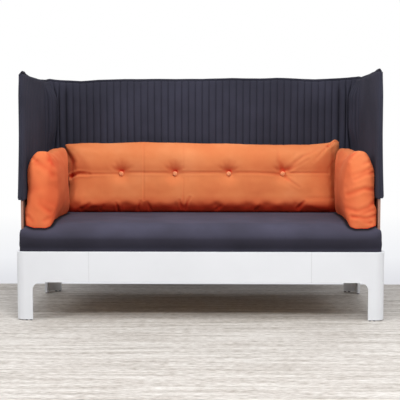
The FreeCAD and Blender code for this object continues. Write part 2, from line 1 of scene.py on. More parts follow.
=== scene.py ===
# %% [markdown]
# # A high-backed banquette with loose cushions
# This file dresses a CAD model of a small sofa: a white lacquered base, a thin plywood shell
# with a quilted sleeve over it, a seat pad and three loose cushions. The hard parts come
# ready from the CAD frame and only need finishes. Everything that is soft is modelled here.
# All sizes are in metres, with +Z up and the front of the sofa towards -Y.

# %% Load the frame
import json
import math

import bmesh
import bpy
import numpy as np
from mathutils import Matrix, Vector, noise
from mathutils.bvhtree import BVHTree


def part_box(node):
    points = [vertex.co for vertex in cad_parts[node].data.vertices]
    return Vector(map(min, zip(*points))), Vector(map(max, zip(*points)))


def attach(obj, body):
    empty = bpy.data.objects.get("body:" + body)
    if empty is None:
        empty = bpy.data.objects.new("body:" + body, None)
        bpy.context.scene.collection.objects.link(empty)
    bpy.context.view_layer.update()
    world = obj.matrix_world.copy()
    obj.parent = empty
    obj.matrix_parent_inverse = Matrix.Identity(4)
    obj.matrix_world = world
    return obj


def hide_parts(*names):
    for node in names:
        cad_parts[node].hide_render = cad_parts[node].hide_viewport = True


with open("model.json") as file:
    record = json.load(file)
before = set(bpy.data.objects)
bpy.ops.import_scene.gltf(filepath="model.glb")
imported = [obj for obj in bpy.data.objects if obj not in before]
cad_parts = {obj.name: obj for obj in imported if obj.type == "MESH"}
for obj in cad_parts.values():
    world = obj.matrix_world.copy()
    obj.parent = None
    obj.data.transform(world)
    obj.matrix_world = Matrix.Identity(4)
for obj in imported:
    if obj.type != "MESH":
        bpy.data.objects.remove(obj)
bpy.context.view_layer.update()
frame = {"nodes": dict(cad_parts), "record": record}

nodes = frame["nodes"]
slots = {part["node"]: part["material_slot"] for part in frame["record"]["subparts"]}

# %% [markdown]
# ## Colour and nodes
# Colours are written as the hex values that a picture editor shows. Blender's nodes work in
# linear light, so one function turns a hex value into linear numbers. A second function adds a
# node to a material together with its settings and links, so each material reads as a list.
# The others are short names for the few nodes that almost every material here needs.

# %% Helpers for materials
def linear(hex_colour):
    """An sRGB hex colour as the linear RGBA that nodes take."""
    values = [int(hex_colour[i:i + 2], 16) / 255 for i in (1, 3, 5)]
    return [v / 12.92 if v <= 0.04045 else ((v + 0.055) / 1.055) ** 2.4 for v in values] + [1.0]


def add(tree, kind, values=(), links=(), **settings):
    """Adds one node: its settings, its sockets' constant values, and what its sockets are linked to."""
    node = tree.nodes.new(kind)
    for name, value in settings.items():
        setattr(node, name, value)
    for socket, value in dict(values).items():
        node.inputs[socket].default_value = value
    for socket, source in dict(links).items():
        tree.links.new(source, node.inputs[socket])
    return node


def calc(tree, operation, *terms, **settings):
    """A sum on one node. Each term is a number or the socket that gives it."""
    sockets = {index: term for index, term in enumerate(terms) if isinstance(term, bpy.types.NodeSocket)}
    numbers = {index: term for index, term in enumerate(terms) if index not in sockets}
    return add(tree, "ShaderNodeMath", numbers, sockets, operation=operation, **settings).outputs[0]


def parts(tree, vector):
    """The sockets with a vector's x, y and z."""
    return add(tree, "ShaderNodeSeparateXYZ", links={0: vector}).outputs


def mapped(tree, source, start, end, low=0.0, high=1.0):
    """Carries the source's range from start to end over to one from low to high."""
    values = {"From Min": start, "From Max": end, "To Min": low, "To Max": high}
    return add(tree, "ShaderNodeMapRange", values, {"Value": source}).outputs[0]


def between(tree, share, first, second):
    """A number so far on the way from a first one to a second."""
    return add(tree, "ShaderNodeMix", {0: share}, {2: first, 3: second}).outputs[0]


def blend(tree, share, source, hex_or_source):
    """A colour with so much of a second one in it."""
    fixed = isinstance(hex_or_source, str)
    values, links = {}, {0: share, 6: source}
    (values if fixed else links)[7] = linear(hex_or_source) if fixed else hex_or_source
    return add(tree, "ShaderNodeMix", values, links, data_type="RGBA").outputs[2]


def new_material(name, **shader_values):
    """A material with a Principled shader, whose constants are set on its own sockets. Its tree, the shader
    and the place on the object come with it."""
    material = bpy.data.materials.new(name)
    material.use_nodes = True
    tree = material.node_tree
    shader = tree.nodes["Principled BSDF"]
    for socket, value in shader_values.items():
        shader.inputs[socket.replace("_", " ")].default_value = value
    return material, tree, shader, add(tree, "ShaderNodeTexCoord").outputs["Object"]


def clouds(tree, place, scale, detail=2.0, squeeze=None, **values):
    """Noise over the object. It is finer along the axes that squeeze makes larger."""
    if squeeze:
        place = add(tree, "ShaderNodeMapping", {"Scale": squeeze}, {"Vector": place}).outputs[0]
    return add(tree, "ShaderNodeTexNoise", {"Scale": scale, "Detail": detail, **values},
               {"Vector": place}).outputs[0]


def ramp(tree, source, *stops):
    """A colour ramp through (position, hex colour) stops."""
    node = add(tree, "ShaderNodeValToRGB", links={"Fac": source})
    elements = node.color_ramp.elements
    while len(elements) < len(stops):
        elements.new(1.0)
    for element, (position, colour) in zip(elements, stops):
        element.position = position
        element.color = linear(colour)
    return node.outputs["Color"]


def paint(tree, shader, source):
    tree.links.new(source, shader.inputs["Base Color"])


def roughen(tree, shader, height, strength, distance):
    """Relief too fine to model, as a bump on top of any that is there."""
    bump = add(tree, "ShaderNodeBump", {"Strength": strength, "Distance": distance}, {"Height": height})
    if shader.inputs["Normal"].is_linked:
        tree.links.new(shader.inputs["Normal"].links[0].from_socket, bump.inputs["Normal"])
    tree.links.new(bump.outputs[0], shader.inputs["Normal"])


# %% [markdown]
# ## White lacquer
# The base is bent plywood under sprayed polyurethane lacquer. To the eye that is an almost
# even, slightly cool white with a satin sheen. Very faintly the grain of the veneer shows
# through as long level ripples, and spraying leaves a soft orange-peel. Both are a small bump.
# Where the front rail meets the bent ends, the filled joint shows through as a hairline.

# %% The base's lacquer
HAIRLINE = 0.0009       # half the width of the joint's line


def lacquer():
    material, tree, shader, place = new_material("sprayed_white_lacquer", Roughness=0.38, IOR=1.5)
    tint = ramp(tree, clouds(tree, place, 3.0, 3.0), (0.3, "#dddfe3"), (0.7, "#e3e5e9"))
    from_middle = calc(tree, "ABSOLUTE", parts(tree, place)[0])
    on_line = calc(tree, "COMPARE", from_middle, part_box("front_rail")[1][0], HAIRLINE)
    paint(tree, shader, blend(tree, calc(tree, "MULTIPLY", on_line, 0.6), tint, "#b9bbbe"))
    roughen(tree, shader, clouds(tree, place, 4.0, 4.0, (3.0, 3.0, 160.0)), 0.12, 0.0004)
    roughen(tree, shader, clouds(tree, place, 450.0), 0.1, 0.0003)
    return material


# %% [markdown]
# ## Plywood
# The shell is thin plywood with stained veneer. Its cut edge shows the plies as brown and pale
# stripes that run with the sheet round both bends. The distance into the sheet is worked out
# from the place on the object, so one material gives plain veneer on the faces and stripes on
# the edges.

# %% The shell's plywood
SHELL_LOW, SHELL_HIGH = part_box("shell")
SHELL_PLY = 0.011
SHELL_CORNER = 0.060
PLIES = 7
SKIN = 0.0004           # of veneer, which isn't edge


def plywood():
    material, tree, shader, place = new_material("stained_birch_plywood", Roughness=0.5, IOR=1.5)
    x, y, _ = parts(tree, place)

    def past(source, start):
        return calc(tree, "MAXIMUM", calc(tree, "SUBTRACT", source, start), 0.0)

    corner = add(tree, "ShaderNodeCombineXYZ",
                 links={0: past(calc(tree, "ABSOLUTE", x), SHELL_HIGH[0] - SHELL_CORNER),
                        1: past(y, SHELL_HIGH[1] - SHELL_CORNER)})
    length = add(tree, "ShaderNodeVectorMath", links={0: corner.outputs[0]}, operation="LENGTH")
    reach = length.outputs["Value"]
    stripe = calc(tree, "PINGPONG", calc(tree, "MULTIPLY", reach, PLIES / SHELL_PLY), 1.0)
    grain = clouds(tree, place, 3.0, 6.0, (60.0, 60.0, 3.0))
    veneer = ramp(tree, grain, (0.3, "#5d4238"), (0.7, "#7b5a4c"))
    edge = ramp(tree, stripe, (0.35, "#6f4c40"), (0.65, "#b98a78"))
    inside = calc(tree, "GREATER_THAN", reach, SHELL_CORNER - SHELL_PLY + SKIN)
    outside = calc(tree, "LESS_THAN", reach, SHELL_CORNER - SKIN)
    paint(tree, shader, blend(tree, calc(tree, "MULTIPLY", inside, outside), veneer, edge))
    roughen(tree, shader, grain, 0.25, 0.0005)
    return material


# %% [markdown]
# ## Softwood, steel, plastic and twine
# Slats and ledgers are planed spruce: pale yellow with straight darker growth lines from front
# to back, the way the slats lie. Screws are zinc plated steel, slightly blue and uneven in
# tone. The glides are black moulded polypropylene with the fine texture of the mould. The twine
# is waxed linen, and the eye sees the lay of its strands.

# %% Finishes inside and under the base
def spruce():
    material, tree, shader, place = new_material("planed_spruce", Roughness=0.6, IOR=1.5)
    rings = clouds(tree, place, 5.0, 5.0, (30.0, 1.5, 30.0), Distortion=0.4)
    paint(tree, shader, ramp(tree, rings, (0.3, "#d8b98a"), (0.62, "#c19a67")))
    roughen(tree, shader, rings, 0.3, 0.0005)
    return material


def plated_steel():
    material, tree, shader, place = new_material("zinc_plated_steel", Metallic=1.0, Roughness=0.35)
    paint(tree, shader, ramp(tree, clouds(tree, place, 900.0, 3.0), (0.3, "#b9bcc2"), (0.7, "#d3d5d8")))
    return material


def moulded_plastic():
    material, tree, shader, place = new_material("moulded_black_polypropylene", Roughness=0.45, IOR=1.49)
    spark = clouds(tree, place, 1500.0)
    paint(tree, shader, ramp(tree, spark, (0.3, "#1a1a1b"), (0.7, "#242425")))
    roughen(tree, shader, spark, 0.2, 0.0002)
    return material


def tufting_twine():
    material, tree, shader, place = new_material("waxed_linen_twine", Roughness=0.7, IOR=1.5)
    lay = add(tree, "ShaderNodeTexWave", {"Scale": 250.0, "Distortion": 1.0}, {"Vector": place}).outputs[0]
    paint(tree, shader, ramp(tree, lay, (0.2, "#a08c6c"), (0.8, "#c8b593")))
    return material


# %% [markdown]
# ## Woven wool
# The cushions and the quilted cover are wool upholstery cloth, milled a little so that the
# weave is soft. The eye gets three things from it: a mottled colour from yarn to yarn, a fine
# cross of warp and weft, and a pale bloom at grazing angles where the fibres catch the light.
# The yarns are about 1 mm apart, too fine for this picture, so they are drawn 2.4 mm apart.
# A fourth thing shows most on the orange cloth: light that reaches a hollow has already come off the same
# cloth, so hollows look not only darker but of a deeper, redder colour. That shade is painted into the
# colour: a darker colour is laid on where a layer of the mesh says, in hollows, grooves, creases, lines of
# contact, on faces turned down or sideways and towards a piece's foot.
# The weave follows the object's axes, which suits cushions that stand square to the sofa.

# %% One recipe for the three cloths
YARN = 0.0024
MOTTLE = 0.16           # share of the weave in the colour, the rest being soft clouds


def wool(name, dark, middle, light, sheen, shade_colour=None, layer="groove_shade", most=0.55):
    """Milled wool: hex colours from the bottom of the weave to its crowns. The optional darker colour is
    painted shade, for rows of stitches, folds and hollows, and the mesh's own layer says where it lies and
    how strongly."""
    material, tree, shader, place = new_material(
        name, Roughness=0.95, IOR=1.45, Specular_IOR_Level=0.25,
        Sheen_Weight=sheen, Sheen_Roughness=0.45, Sheen_Tint=linear(light))
    waves = {"Scale": 2 * math.pi / YARN / 20, "Distortion": 1.5, "Detail": 1.0, "Detail Scale": 3.0}
    warp, weft = (add(tree, "ShaderNodeTexWave", waves, {"Vector": place}, bands_direction=axis).outputs[1]
                  for axis in ("X", "Z"))
    weave = between(tree, 0.55, calc(tree, "MAXIMUM", warp, weft), clouds(tree, place, 700.0, 3.0))
    tone = between(tree, MOTTLE, clouds(tree, place, 5.0, 4.0), weave)
    colour = ramp(tree, tone, (0.25, dark), (0.5, middle), (0.75, light))
    if shade_colour:
        # the darker colour is painted shade, as strong as the mesh's layer says
        where = add(tree, "ShaderNodeAttribute", attribute_name=layer).outputs["Fac"]
        colour = blend(tree, calc(tree, "MULTIPLY", where, most, use_clamp=True), colour, shade_colour)
    paint(tree, shader, colour)
    roughen(tree, shader, weave, 0.35, 0.0006)
    return material


FINISHES = {
    "white_lacquer": lacquer(),
    "shell_ply": plywood(),
    "frame_wood": spruce(),
    "screw_steel": plated_steel(),
    "glide_plastic": moulded_plastic(),
    "twine": tufting_twine(),
    # The last colour of each cloth that has one is painted shade, laid on where a layer of its mesh says.
    "cushion_fabric": wool("orange_wool_cloth", "#d97346", "#e18350", "#e89360", 0.06,
                           shade_colour="#cf381e", layer="hollow", most=1.0),
    "quilt_fabric": wool("quilted_grey_wool_cloth", "#2b2b36", "#32323e", "#3a3a48", 0.08, shade_colour="#191922"),
    "seat_fabric": wool("seat_grey_wool_cloth", "#3b3945", "#434150", "#4c4a5b", 0.16,
                        shade_colour="#0e0d13", layer="hollow", most=1.0),
}
print(len(FINISHES), "finishes")

# %% Finish the CAD nodes
for name, node in nodes.items():
    node.data.materials.clear()
    node.data.materials.append(FINISHES[slots[name]])

# %% [markdown]
# ## The way round the shell
# The quilting follows the shell: along one wing, round a bend, along the back, round the other
# bend and out along the other wing. So each layer is first made flat, as cloth is quilted, and
# then every point is carried to its place by its distance round the shell, its height and its
# distance from the middle of the plywood. Past the plywood's front and top edges the cloth
# turns over them, so that the two layers meet at mid-ply and no plywood shows.

# %% From flat cloth to the shell
SHELL_FRONT, SHELL_TOP = SHELL_LOW[1], SHELL_HIGH[2]
BEND_X = SHELL_HIGH[0] - SHELL_CORNER
BEND_Y = SHELL_HIGH[1] - SHELL_CORNER
BEND_RADIUS = SHELL_CORNER - SHELL_PLY / 2
BEND_LENGTH = BEND_RADIUS * math.pi / 2
HALF_ROUND = BEND_X + BEND_LENGTH + BEND_Y - SHELL_FRONT
TURN = 0.016            # length of cloth that goes round an edge
FRONT_BULGE = 0.72      # how far it stands out there, as a share of its distance from mid-ply
TOP_BULGE = 0.42


def round_shell(along, away):
    """(x, y) at a distance along from the middle of the back, and away outwards from mid-ply."""
    side = 1.0 if along >= 0 else -1.0
    distance = abs(along)
    if distance < BEND_X:
        return along, BEND_Y + BEND_RADIUS + away
    if distance < BEND_X + BEND_LENGTH:
        turn = (distance - BEND_X) / BEND_RADIUS
        reach = BEND_RADIUS + away
        return side * (BEND_X + reach * math.sin(turn)), BEND_Y + reach * math.cos(turn)
    return side * (BEND_X + BEND_RADIUS + away), BEND_Y - (distance - BEND_X - BEND_LENGTH)


def on_sleeve(along, height, away):
    """The same with the height, for cloth that turns over the front and top edges of the plywood."""
    over_front = min(1.0, max(0.0, abs(along) - HALF_ROUND) / TURN) * math.pi / 2
    over_top = min(1.0, max(0.0, height - SHELL_TOP) / TURN) * math.pi / 2
    shrunk = away * math.cos(over_front) * math.cos(over_top)
    x, y = round_shell(max(-HALF_ROUND, min(HALF_ROUND, along)), shrunk)
    out_front, out_top = math.sin(over_front), math.sin(over_top)
    y -= abs(away) * FRONT_BULGE * out_front * (1 - 0.3 * out_top)
    z = min(height, SHELL_TOP) + abs(away) * TOP_BULGE * out_top * (1 - 0.3 * out_front)
    return x, y, z


def as_object(mesh_source, name, material):
    """A bmesh as a smooth-shaded object at the origin."""
    mesh = bpy.data.meshes.new(name)
    mesh_source.to_mesh(mesh)
    mesh_source.free()
    mesh.shade_smooth()
    piece = bpy.data.objects.new(name, mesh)
    bpy.context.scene.collection.objects.link(piece)
    piece.data.materials.append(material)
    return piece


def dress(piece, body, fill, *replaced):
    """Tells the frame what a piece rides on, and hides the nodes it stands for. How full it is stuffed, if
    at all, is given as fill but is not used."""
    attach(piece, body)
    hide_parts(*replaced)
    print(piece.name, len(piece.data.polygons), "faces")


def thick_grid(columns, rows, keep=lambda column, row: True):
    """A flat slab of so many quads, or of those that keep picks by the place of their middle. Its vertices
    come back with their column, row and face (1 or 0)."""
    mesh = bmesh.new()
    mesh.verts.layers.float.new("groove_shade")
    bmesh.ops.create_grid(mesh, x_segments=columns, y_segments=rows, size=0.5)
    middles = [(f, f.calc_center_median()) for f in mesh.faces]
    unwanted = [f for f, m in middles if not keep((m.x + 0.5) * columns, (m.y + 0.5) * rows)]
    bmesh.ops.delete(mesh, geom=unwanted, context="FACES")
    face = bmesh.ops.extrude_face_region(mesh, geom=mesh.faces[:])
    bmesh.ops.translate(mesh, verts=[v for v in face["geom"] if isinstance(v, bmesh.types.BMVert)],
                        vec=(0, 0, 1))
    places = [(v, round((v.co.x + 0.5) * columns), round((v.co.y + 0.5) * rows), round(v.co.z))
              for v in mesh.verts]
    return mesh, places


print("half way round", round(HALF_ROUND, 3), "m")

# %% [markdown]
# ## Quilted layers
# Each layer is cloth with wadding behind it, sewn through every 34.5 mm, which makes it a row
# of soft upright channels. A displacement map could fake that, but the channels show in the
# outline at the hem and the top edge, so they are real shape here: a flat slab with eight
# strips to a channel, closer together at the seams, whose thickness swells between the seams.
# Wadding is never even, so a little noise varies the fullness. In the two inner corners there is more cloth
# than way to go, and the channels puff up with deep folds between them. Each vertex also keeps how near a
# row of stitches is, so that the material can paint shade into the groove; in the inner corners it also
# paints shade into the folds and between the puffs.

# %% Make the two layers of the sleeve
QUILT = 0.009           # thickness at the crest of a channel
SEAM = 0.0028           # and at a row of stitches
CHANNELS = 84
STRIPS = 8
EDGE_STEPS = 6
CLOTH_GAP = 0.0004      # between the plywood and the cloth
SLEEVE_RISE = 0.0057    # of the sleeve's top edge over the plywood
FLANGE_STANDS = 0.010   # of the flange over the sleeve's top edge, where the edge follows it
STITCH_REACH = 0.0022   # of the groove's painted shade to either side of a row of stitches
FOLD_REACH = 0.0075     # and of a fold
INNER_HEM, OUTER_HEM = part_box("cover_inner_layer")[0][2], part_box("cover_outer_layer")[0][2]
PITCH = 2 * HALF_ROUND / CHANNELS

AT_WING = BEND_X + BEND_LENGTH + BEND_Y        # where y is 0 on a wing
# Folds of the inner layer: place along, lean, depth.
CORNER_FOLDS = ((-AT_WING + 0.260, 0.02, 1.0), (-AT_WING + 0.225, 0.0, 0.9),
                (-AT_WING + 0.190, -0.03, 1.0), (-AT_WING + 0.155, 0.0, 0.6),
                (-BEND_X - 0.045, 0.0, 0.9), (-BEND_X + 0.020, 0.0, 0.6),
                (AT_WING - 0.250, -0.01, 1.0), (AT_WING - 0.215, 0.02, 1.0), (AT_WING - 0.175, 0.0, 0.8),
                (BEND_X + 0.045, 0.0, 0.9), (BEND_X - 0.020, 0.0, 0.6))
# The flange's free edge, as it wavers in the photograph: place along, height.
FLANGE_TOP = ((-1.46, 1.080), (-1.383, 1.081), (-1.325, 1.075), (-1.27, 1.071), (-1.14, 1.070),
              (-0.97, 1.072), (-0.82, 1.082), (-0.78, 1.088), (-0.698, 1.081), (-0.613, 1.078),
              (-0.522, 1.084), (-0.393, 1.0875), (-0.214, 1.088), (0.0, 1.088), (0.15, 1.092),
              (0.292, 1.090), (0.375, 1.093), (0.472, 1.090), (0.569, 1.085), (0.697, 1.0915),
              (0.761, 1.096), (0.82, 1.096), (0.92, 1.087), (1.15, 1.086), (1.29, 1.087),
              (1.363, 1.091), (1.46, 1.089))
# How far the gathered cloth stands off the shell in the inner corners: distance along, stand-off.
SLACK = ((BEND_X - 0.09, 0.0), (BEND_X - 0.02, 0.010), (BEND_X + BEND_LENGTH, 0.021),
         (AT_WING - 0.245, 0.024), (AT_WING - 0.21, 0.018), (AT_WING - 0.175, 0.010),
         (AT_WING - 0.13, 0.0))

WITHIN = [n / STRIPS - 0.6 * math.sin(2 * math.pi * n / STRIPS) / (2 * math.pi) for n in range(STRIPS)]
ALONG = [-HALF_ROUND - TURN * (1 - n / EDGE_STEPS) for n in range(EDGE_STEPS)]
ALONG += [-HALF_ROUND + (channel + share) * PITCH for channel in range(CHANNELS) for share in WITHIN]
ALONG += [HALF_ROUND + TURN * n / EDGE_STEPS for n in range(EDGE_STEPS + 1)]


def heights(hem, rows):
    """Rows from the hem to the top, closer together at the hem and over the top edge."""
    low = [hem + rise for rise in (0, 0.0008, 0.0025, 0.005, 0.009)]
    straight = [low[-1] + (SHELL_TOP - low[-1]) * n / rows for n in range(1, rows + 1)]
    return low + straight + [SHELL_TOP + TURN * n / EDGE_STEPS for n in range(1, EDGE_STEPS + 1)]


def fade(gap):
    """1 where gap is 0, and less to both sides. It takes a number or an array."""
    return np.exp(-gap ** 2)


def smooth_step(value, start, end):
    share = min(1.0, max(0.0, (value - start) / (end - start)))
    return share * share * (3 - 2 * share)


def fullness(along, height):
    """How full the wadding is here, from 0 at a seam to 1 between two."""
    if abs(along) > HALF_ROUND:
        return 0.35
    shape = abs(math.sin(math.pi * (along / PITCH)))
    uneven = 0.14 * noise.noise(Vector((along * 9, height * 5, 0.0)))
    return max(0.0, min(1.0, shape ** 0.5 + uneven * shape))


def flange_top(along):
    """Height of the flange's free edge."""
    small = noise.noise(Vector((along * 11.0, 0.0, 5.0)))
    return float(np.interp(along, *zip(*FLANGE_TOP))) + 0.0012 * small


def slack_top(along):
    """How far the sleeve's top edge stands clear of the plywood: it follows the flange from below."""
    return max(0.0, flange_top(along) - FLANGE_STANDS - SHELL_TOP - SLEEVE_RISE)


def cloth_thickness(along, height, hem):
    full = fullness(along, height)
    near_front = smooth_step(HALF_ROUND + 0.004 - abs(along), 0.0, 0.030)
    near_top = smooth_step(SHELL_TOP + 0.006 - height, 0.0, 0.10)
    near_hem = smooth_step(height - hem, -0.003, 0.007)
    thick = SEAM + (QUILT - SEAM) * full
    return thick * (0.62 + 0.38 * near_front) * (0.55 + 0.45 * near_top) * near_hem


def in_corner(along, height):
    """1 where the inner layer gathers in the shell's bends, 0 away from them."""
    distance = abs(along)
    start = smooth_step(distance, BEND_X - 0.05, BEND_X + 0.01)
    end = 1 - smooth_step(distance, BEND_X + BEND_LENGTH + 0.10, BEND_X + BEND_LENGTH + 0.20)
    return start * end * smooth_step(SHELL_TOP - height, 0.0, 0.08)


def corner_fold(along, height):
    """How deep, from 0 to 1, the inner layer is folded in here."""
    deepest = 0.0
    for place, lean, depth in CORNER_FOLDS:
        gap = (along - round(place / PITCH) * PITCH - lean * (height - 0.9)) / FOLD_REACH
        deepest = max(deepest, depth * fade(gap))
    return deepest * smooth_step(SHELL_TOP - height, 0.01, 0.06)


def quilted_layer(name, outwards, hem, rows, *replaced):
    levels = heights(hem, rows)
    mesh, places = thick_grid(len(ALONG) - 1, len(levels) - 1)
    groove_shade = mesh.verts.layers.float["groove_shade"]
    for vert, column, row, face in places:
        along, height = ALONG[column], levels[row]
        thick = cloth_thickness(along, height, hem)
        away = SHELL_PLY / 2 + CLOTH_GAP
        if outwards:
            fall = max(0.0, 1 - (height - hem) / 0.30)
            wave = noise.noise(Vector((along * 2.2, 3.0, 1.0)))
            corner = fade((HALF_ROUND - abs(along)) / 0.05)
            away += fall ** 1.5 * (0.0060 + 0.0022 * wave + 0.003 * corner)
        else:
            gather = in_corner(along, height)
            slack = smooth_step(height - hem, 0.0, 0.05) * smooth_step(SHELL_TOP - height, 0.0, 0.06)
            slack *= smooth_step(HALF_ROUND - abs(along), 0.0, 0.08)
            away += slack * 0.0007 * (1 + noise.noise(Vector((along * 3.0, height * 2.0, 7.0))))
            puff = gather * (0.2 + 0.8 * smooth_step(height, 0.72, 0.86))
            fold = corner_fold(along, height)
            stand_off = float(np.interp(abs(along), *zip(*SLACK)))
            uneven = 1 + 0.3 * noise.noise(Vector((along * 14, height * 2.5, 3)))
            away += puff * (1 - 0.7 * fold) * stand_off * uneven
            thick = (thick + puff * 0.010 * fullness(along, height)) * (1 - 0.8 * fold)
        if face:
            away += thick
            from_seam = abs((along / PITCH + 0.5) % 1 - 0.5) * PITCH
            sewn = abs(along) < HALF_ROUND - 0.005
            # painted shade in the groove along each row of stitches
            vert[groove_shade] = fade(from_seam / STITCH_REACH) if sewn else 0.0
            if not outwards:
                # and in the inner corners, painted shade in the folds and between the puffs
                between = 1.2 * puff * (1 - fullness(along, height))
                vert[groove_shade] = min(1.8, vert[groove_shade] + 1.5 * fold + between)
        hang = along / HALF_ROUND * 0.0045 * (1 - smooth_step(height - hem, 0.0, 0.15))
        x, y, z = on_sleeve(along, height + hang, away if outwards else -away)
        vert.co = (x, y, z + slack_top(along) * smooth_step(height, SHELL_TOP - 0.12, SHELL_TOP))
    bmesh.ops.recalc_face_normals(mesh, faces=mesh.faces[:])
    dress(as_object(mesh, name, FINISHES["quilt_fabric"]), "cover", 0.5, *replaced)


quilted_layer("cover_quilt_inside", False, INNER_HEM + 0.013, 44, "cover_inner_layer")
quilted_layer("cover_quilt_outside", True, OUTER_HEM, 36, "cover_outer_layer", "cover_edge_tape")

# %% [markdown]
# ## Seam flange
# The two layers are joined face to face with a flat seam that is left to stand up. It runs
# along the top, leans inwards and wavers because nothing stiffens it, ends in a small ear at
# each front corner and turns down the front of each wing as a low ridge. It is one strip of
# cloth: a slab with the middle taken out, carried round the shell.

# %% Make the flange
FLANGE = 0.0034         # its thickness
FLANGE_FOOT = 0.003     # height of its foot over the plywood
RIDGE = 0.0135          # how far it stands out in front of the wings
EARS = {-1: 0.75, 1: 0.5}       # lean of the left and right ear


def seam_flange():
    columns, rows, end_columns, top_rows = 320, 60, 3, 4
    mesh, places = thick_grid(columns, rows, lambda column, row: column < end_columns
                              or column > columns - end_columns or row > rows - top_rows)
    low = OUTER_HEM + 0.002
    for vert, column, row, face in places:
        along = (column / columns * 2 - 1) * (HALF_ROUND + RIDGE)
        top = flange_top(along)
        base = SHELL_TOP + FLANGE_FOOT + slack_top(along)
        if row >= rows - top_rows:
            height = base + (1 - (rows - row) / top_rows) * (top - base)
        else:
            height = low + row / (rows - top_rows) * (base - low)
        rise = max(0.0, height - base)
        ear = smooth_step(abs(along), HALF_ROUND - 0.12, HALF_ROUND)
        behind = 1 - smooth_step(abs(along), BEND_X - 0.02, BEND_X + 0.12)
        wander = 0.15 * noise.noise(Vector((along * 4.0, 2.0, 0.0)))
        lean = rise * (-0.05 - 0.33 * behind - EARS[-1 if along < 0 else 1] * ear + wander)
        edge = max(0.0, 1 - abs(height - top) / 0.004)
        thick = FLANGE * (1 - 0.45 * edge)
        x, y = round_shell(along, lean + (thick / 2 if face else -thick / 2))
        vert.co = (x, y, height)
    bmesh.ops.recalc_face_normals(mesh, faces=mesh.faces[:])
    dress(as_object(mesh, "cover_seam_flange", FINISHES["quilt_fabric"]), "cover", 0.2, "cover_seam_lip")


seam_flange()

# %% [markdown]
# ## Stuffed pieces
# The pad and the cushions swell until their cloth is taut. That is what a cloth simulation with
# inner pressure does, so each one starts from its CAD solid, is remeshed into even squares,
# and is blown up for a few frames with gravity off. No point may move further than a cap, so a
# cushion stays where it belongs. Then the result is kept as plain mesh.

# %% Remesh, inflate and keep
scene = bpy.context.scene


def bake(piece):
    """Replaces the piece's mesh by what its modifiers make of it."""
    bpy.context.view_layer.update()
    made = bpy.data.meshes.new_from_object(piece.evaluated_get(bpy.context.evaluated_depsgraph_get()))
    old = piece.data
    piece.modifiers.clear()
    piece.data = made
    bpy.data.meshes.remove(old)
    piece.data.name = piece.name
    piece.data.shade_smooth()


def copied(node, name, voxel, smoothing):
    """The CAD node's shape as an even mesh of its own, with its hard edges softened."""
    mesh = bmesh.new()
    mesh.from_mesh(nodes[node].data)
    bmesh.ops.remove_doubles(mesh, verts=mesh.verts[:], dist=1e-5)
    piece = as_object(mesh, name, FINISHES[slots[node]])
    remesh = piece.modifiers.new("Remesh", "REMESH")
    remesh.mode = "VOXEL"
    remesh.voxel_size = voxel
    soften(piece, smoothing)
    return piece


def soften(piece, times):
    smooth = piece.modifiers.new("Smooth", "SMOOTH")
    smooth.factor = 0.5
    smooth.iterations = times
    bake(piece)


def subdivide(piece):
    finer = piece.modifiers.new("Subdivision", "SUBSURF")
    finer.levels = finer.render_levels = 1
    bake(piece)


def array_of(piece, what):
    """The piece's vertex places ("co") or directions ("normal") as an array with a row each."""
    flat = np.empty(len(piece.data.vertices) * 3)
    piece.data.vertices.foreach_get(what, flat)
    return flat.reshape(-1, 3)


def put_points(piece, places):
    piece.data.vertices.foreach_set("co", np.ascontiguousarray(places, dtype=np.float32).ravel())
    piece.data.update()


def fill_out(piece, node, axes=(0, 1, 2)):
    """Stretches the piece back to its solid's box, which smoothing has shrunk it from."""
    places = array_of(piece, "co")
    for axis in axes:
        low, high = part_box(node)[0][axis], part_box(node)[1][axis]
        now_low, now_high = places[:, axis].min(), places[:, axis].max()
        places[:, axis] = low + (places[:, axis] - now_low) * (high - low) / (now_high - now_low)
    put_points(piece, places)


def inflate(piece, pressure, cap, frames=20):
    """Cloth with pressure inside; no point moves further than cap."""
    start = array_of(piece, "co")
    cloth = piece.modifiers.new("Cloth", "CLOTH").settings
    cloth.quality = 5
    cloth.mass = 0.3
    cloth.tension_stiffness = cloth.compression_stiffness = 25
    cloth.shear_stiffness = 10
    cloth.bending_stiffness = 0.5
    cloth.use_pressure = True
    cloth.uniform_pressure_force = pressure
    cloth.effector_weights.gravity = 0
    for step in range(1, frames + 1):
        scene.frame_set(step)
    bake(piece)
    scene.frame_set(1)
    moved = array_of(piece, "co") - start
    length = np.linalg.norm(moved, axis=1, keepdims=True)
    moved *= np.minimum(1.0, cap / np.maximum(length, 1e-9))
    put_points(piece, start + moved)
    print(piece.name, "moved", round(float(length.max()) * 1000, 1), "mm at most before the cap")


# %% [markdown]
# ## Hands that shape a cushion
# A loose cushion has been sat against, pulled and turned. These tools do what hands do: push
# soft cloth over, press in a crease, sew in a button, and let the stuffing lie a little lumpy.
# Creases are placed as they show in the photograph: their paths are drawn on an upright plane
# and carried to the cloth along the lines of sight from the place the picture was taken from.

# %% Push, crease, tuft, ripple and keep clear
EYE = np.array((0.0616, -4.3272, 0.8012))
LIP = 0.4               # height of a crease's lips, as a share of its depth
CLEARANCE = 0.0008      # left between two stuffed pieces that touch


def paint_shade(piece, more):
    """Adds painted shade to the piece, in the layer its cloth takes a darker, deeper colour from."""
    layer = piece.data.attributes.get("hollow") or piece.data.attributes.new("hollow", "FLOAT", "POINT")
    values = np.empty(len(piece.data.vertices))
    layer.data.foreach_get("value", values)
    layer.data.foreach_set("value", np.clip(values + more, 0, 1).astype(np.float32))


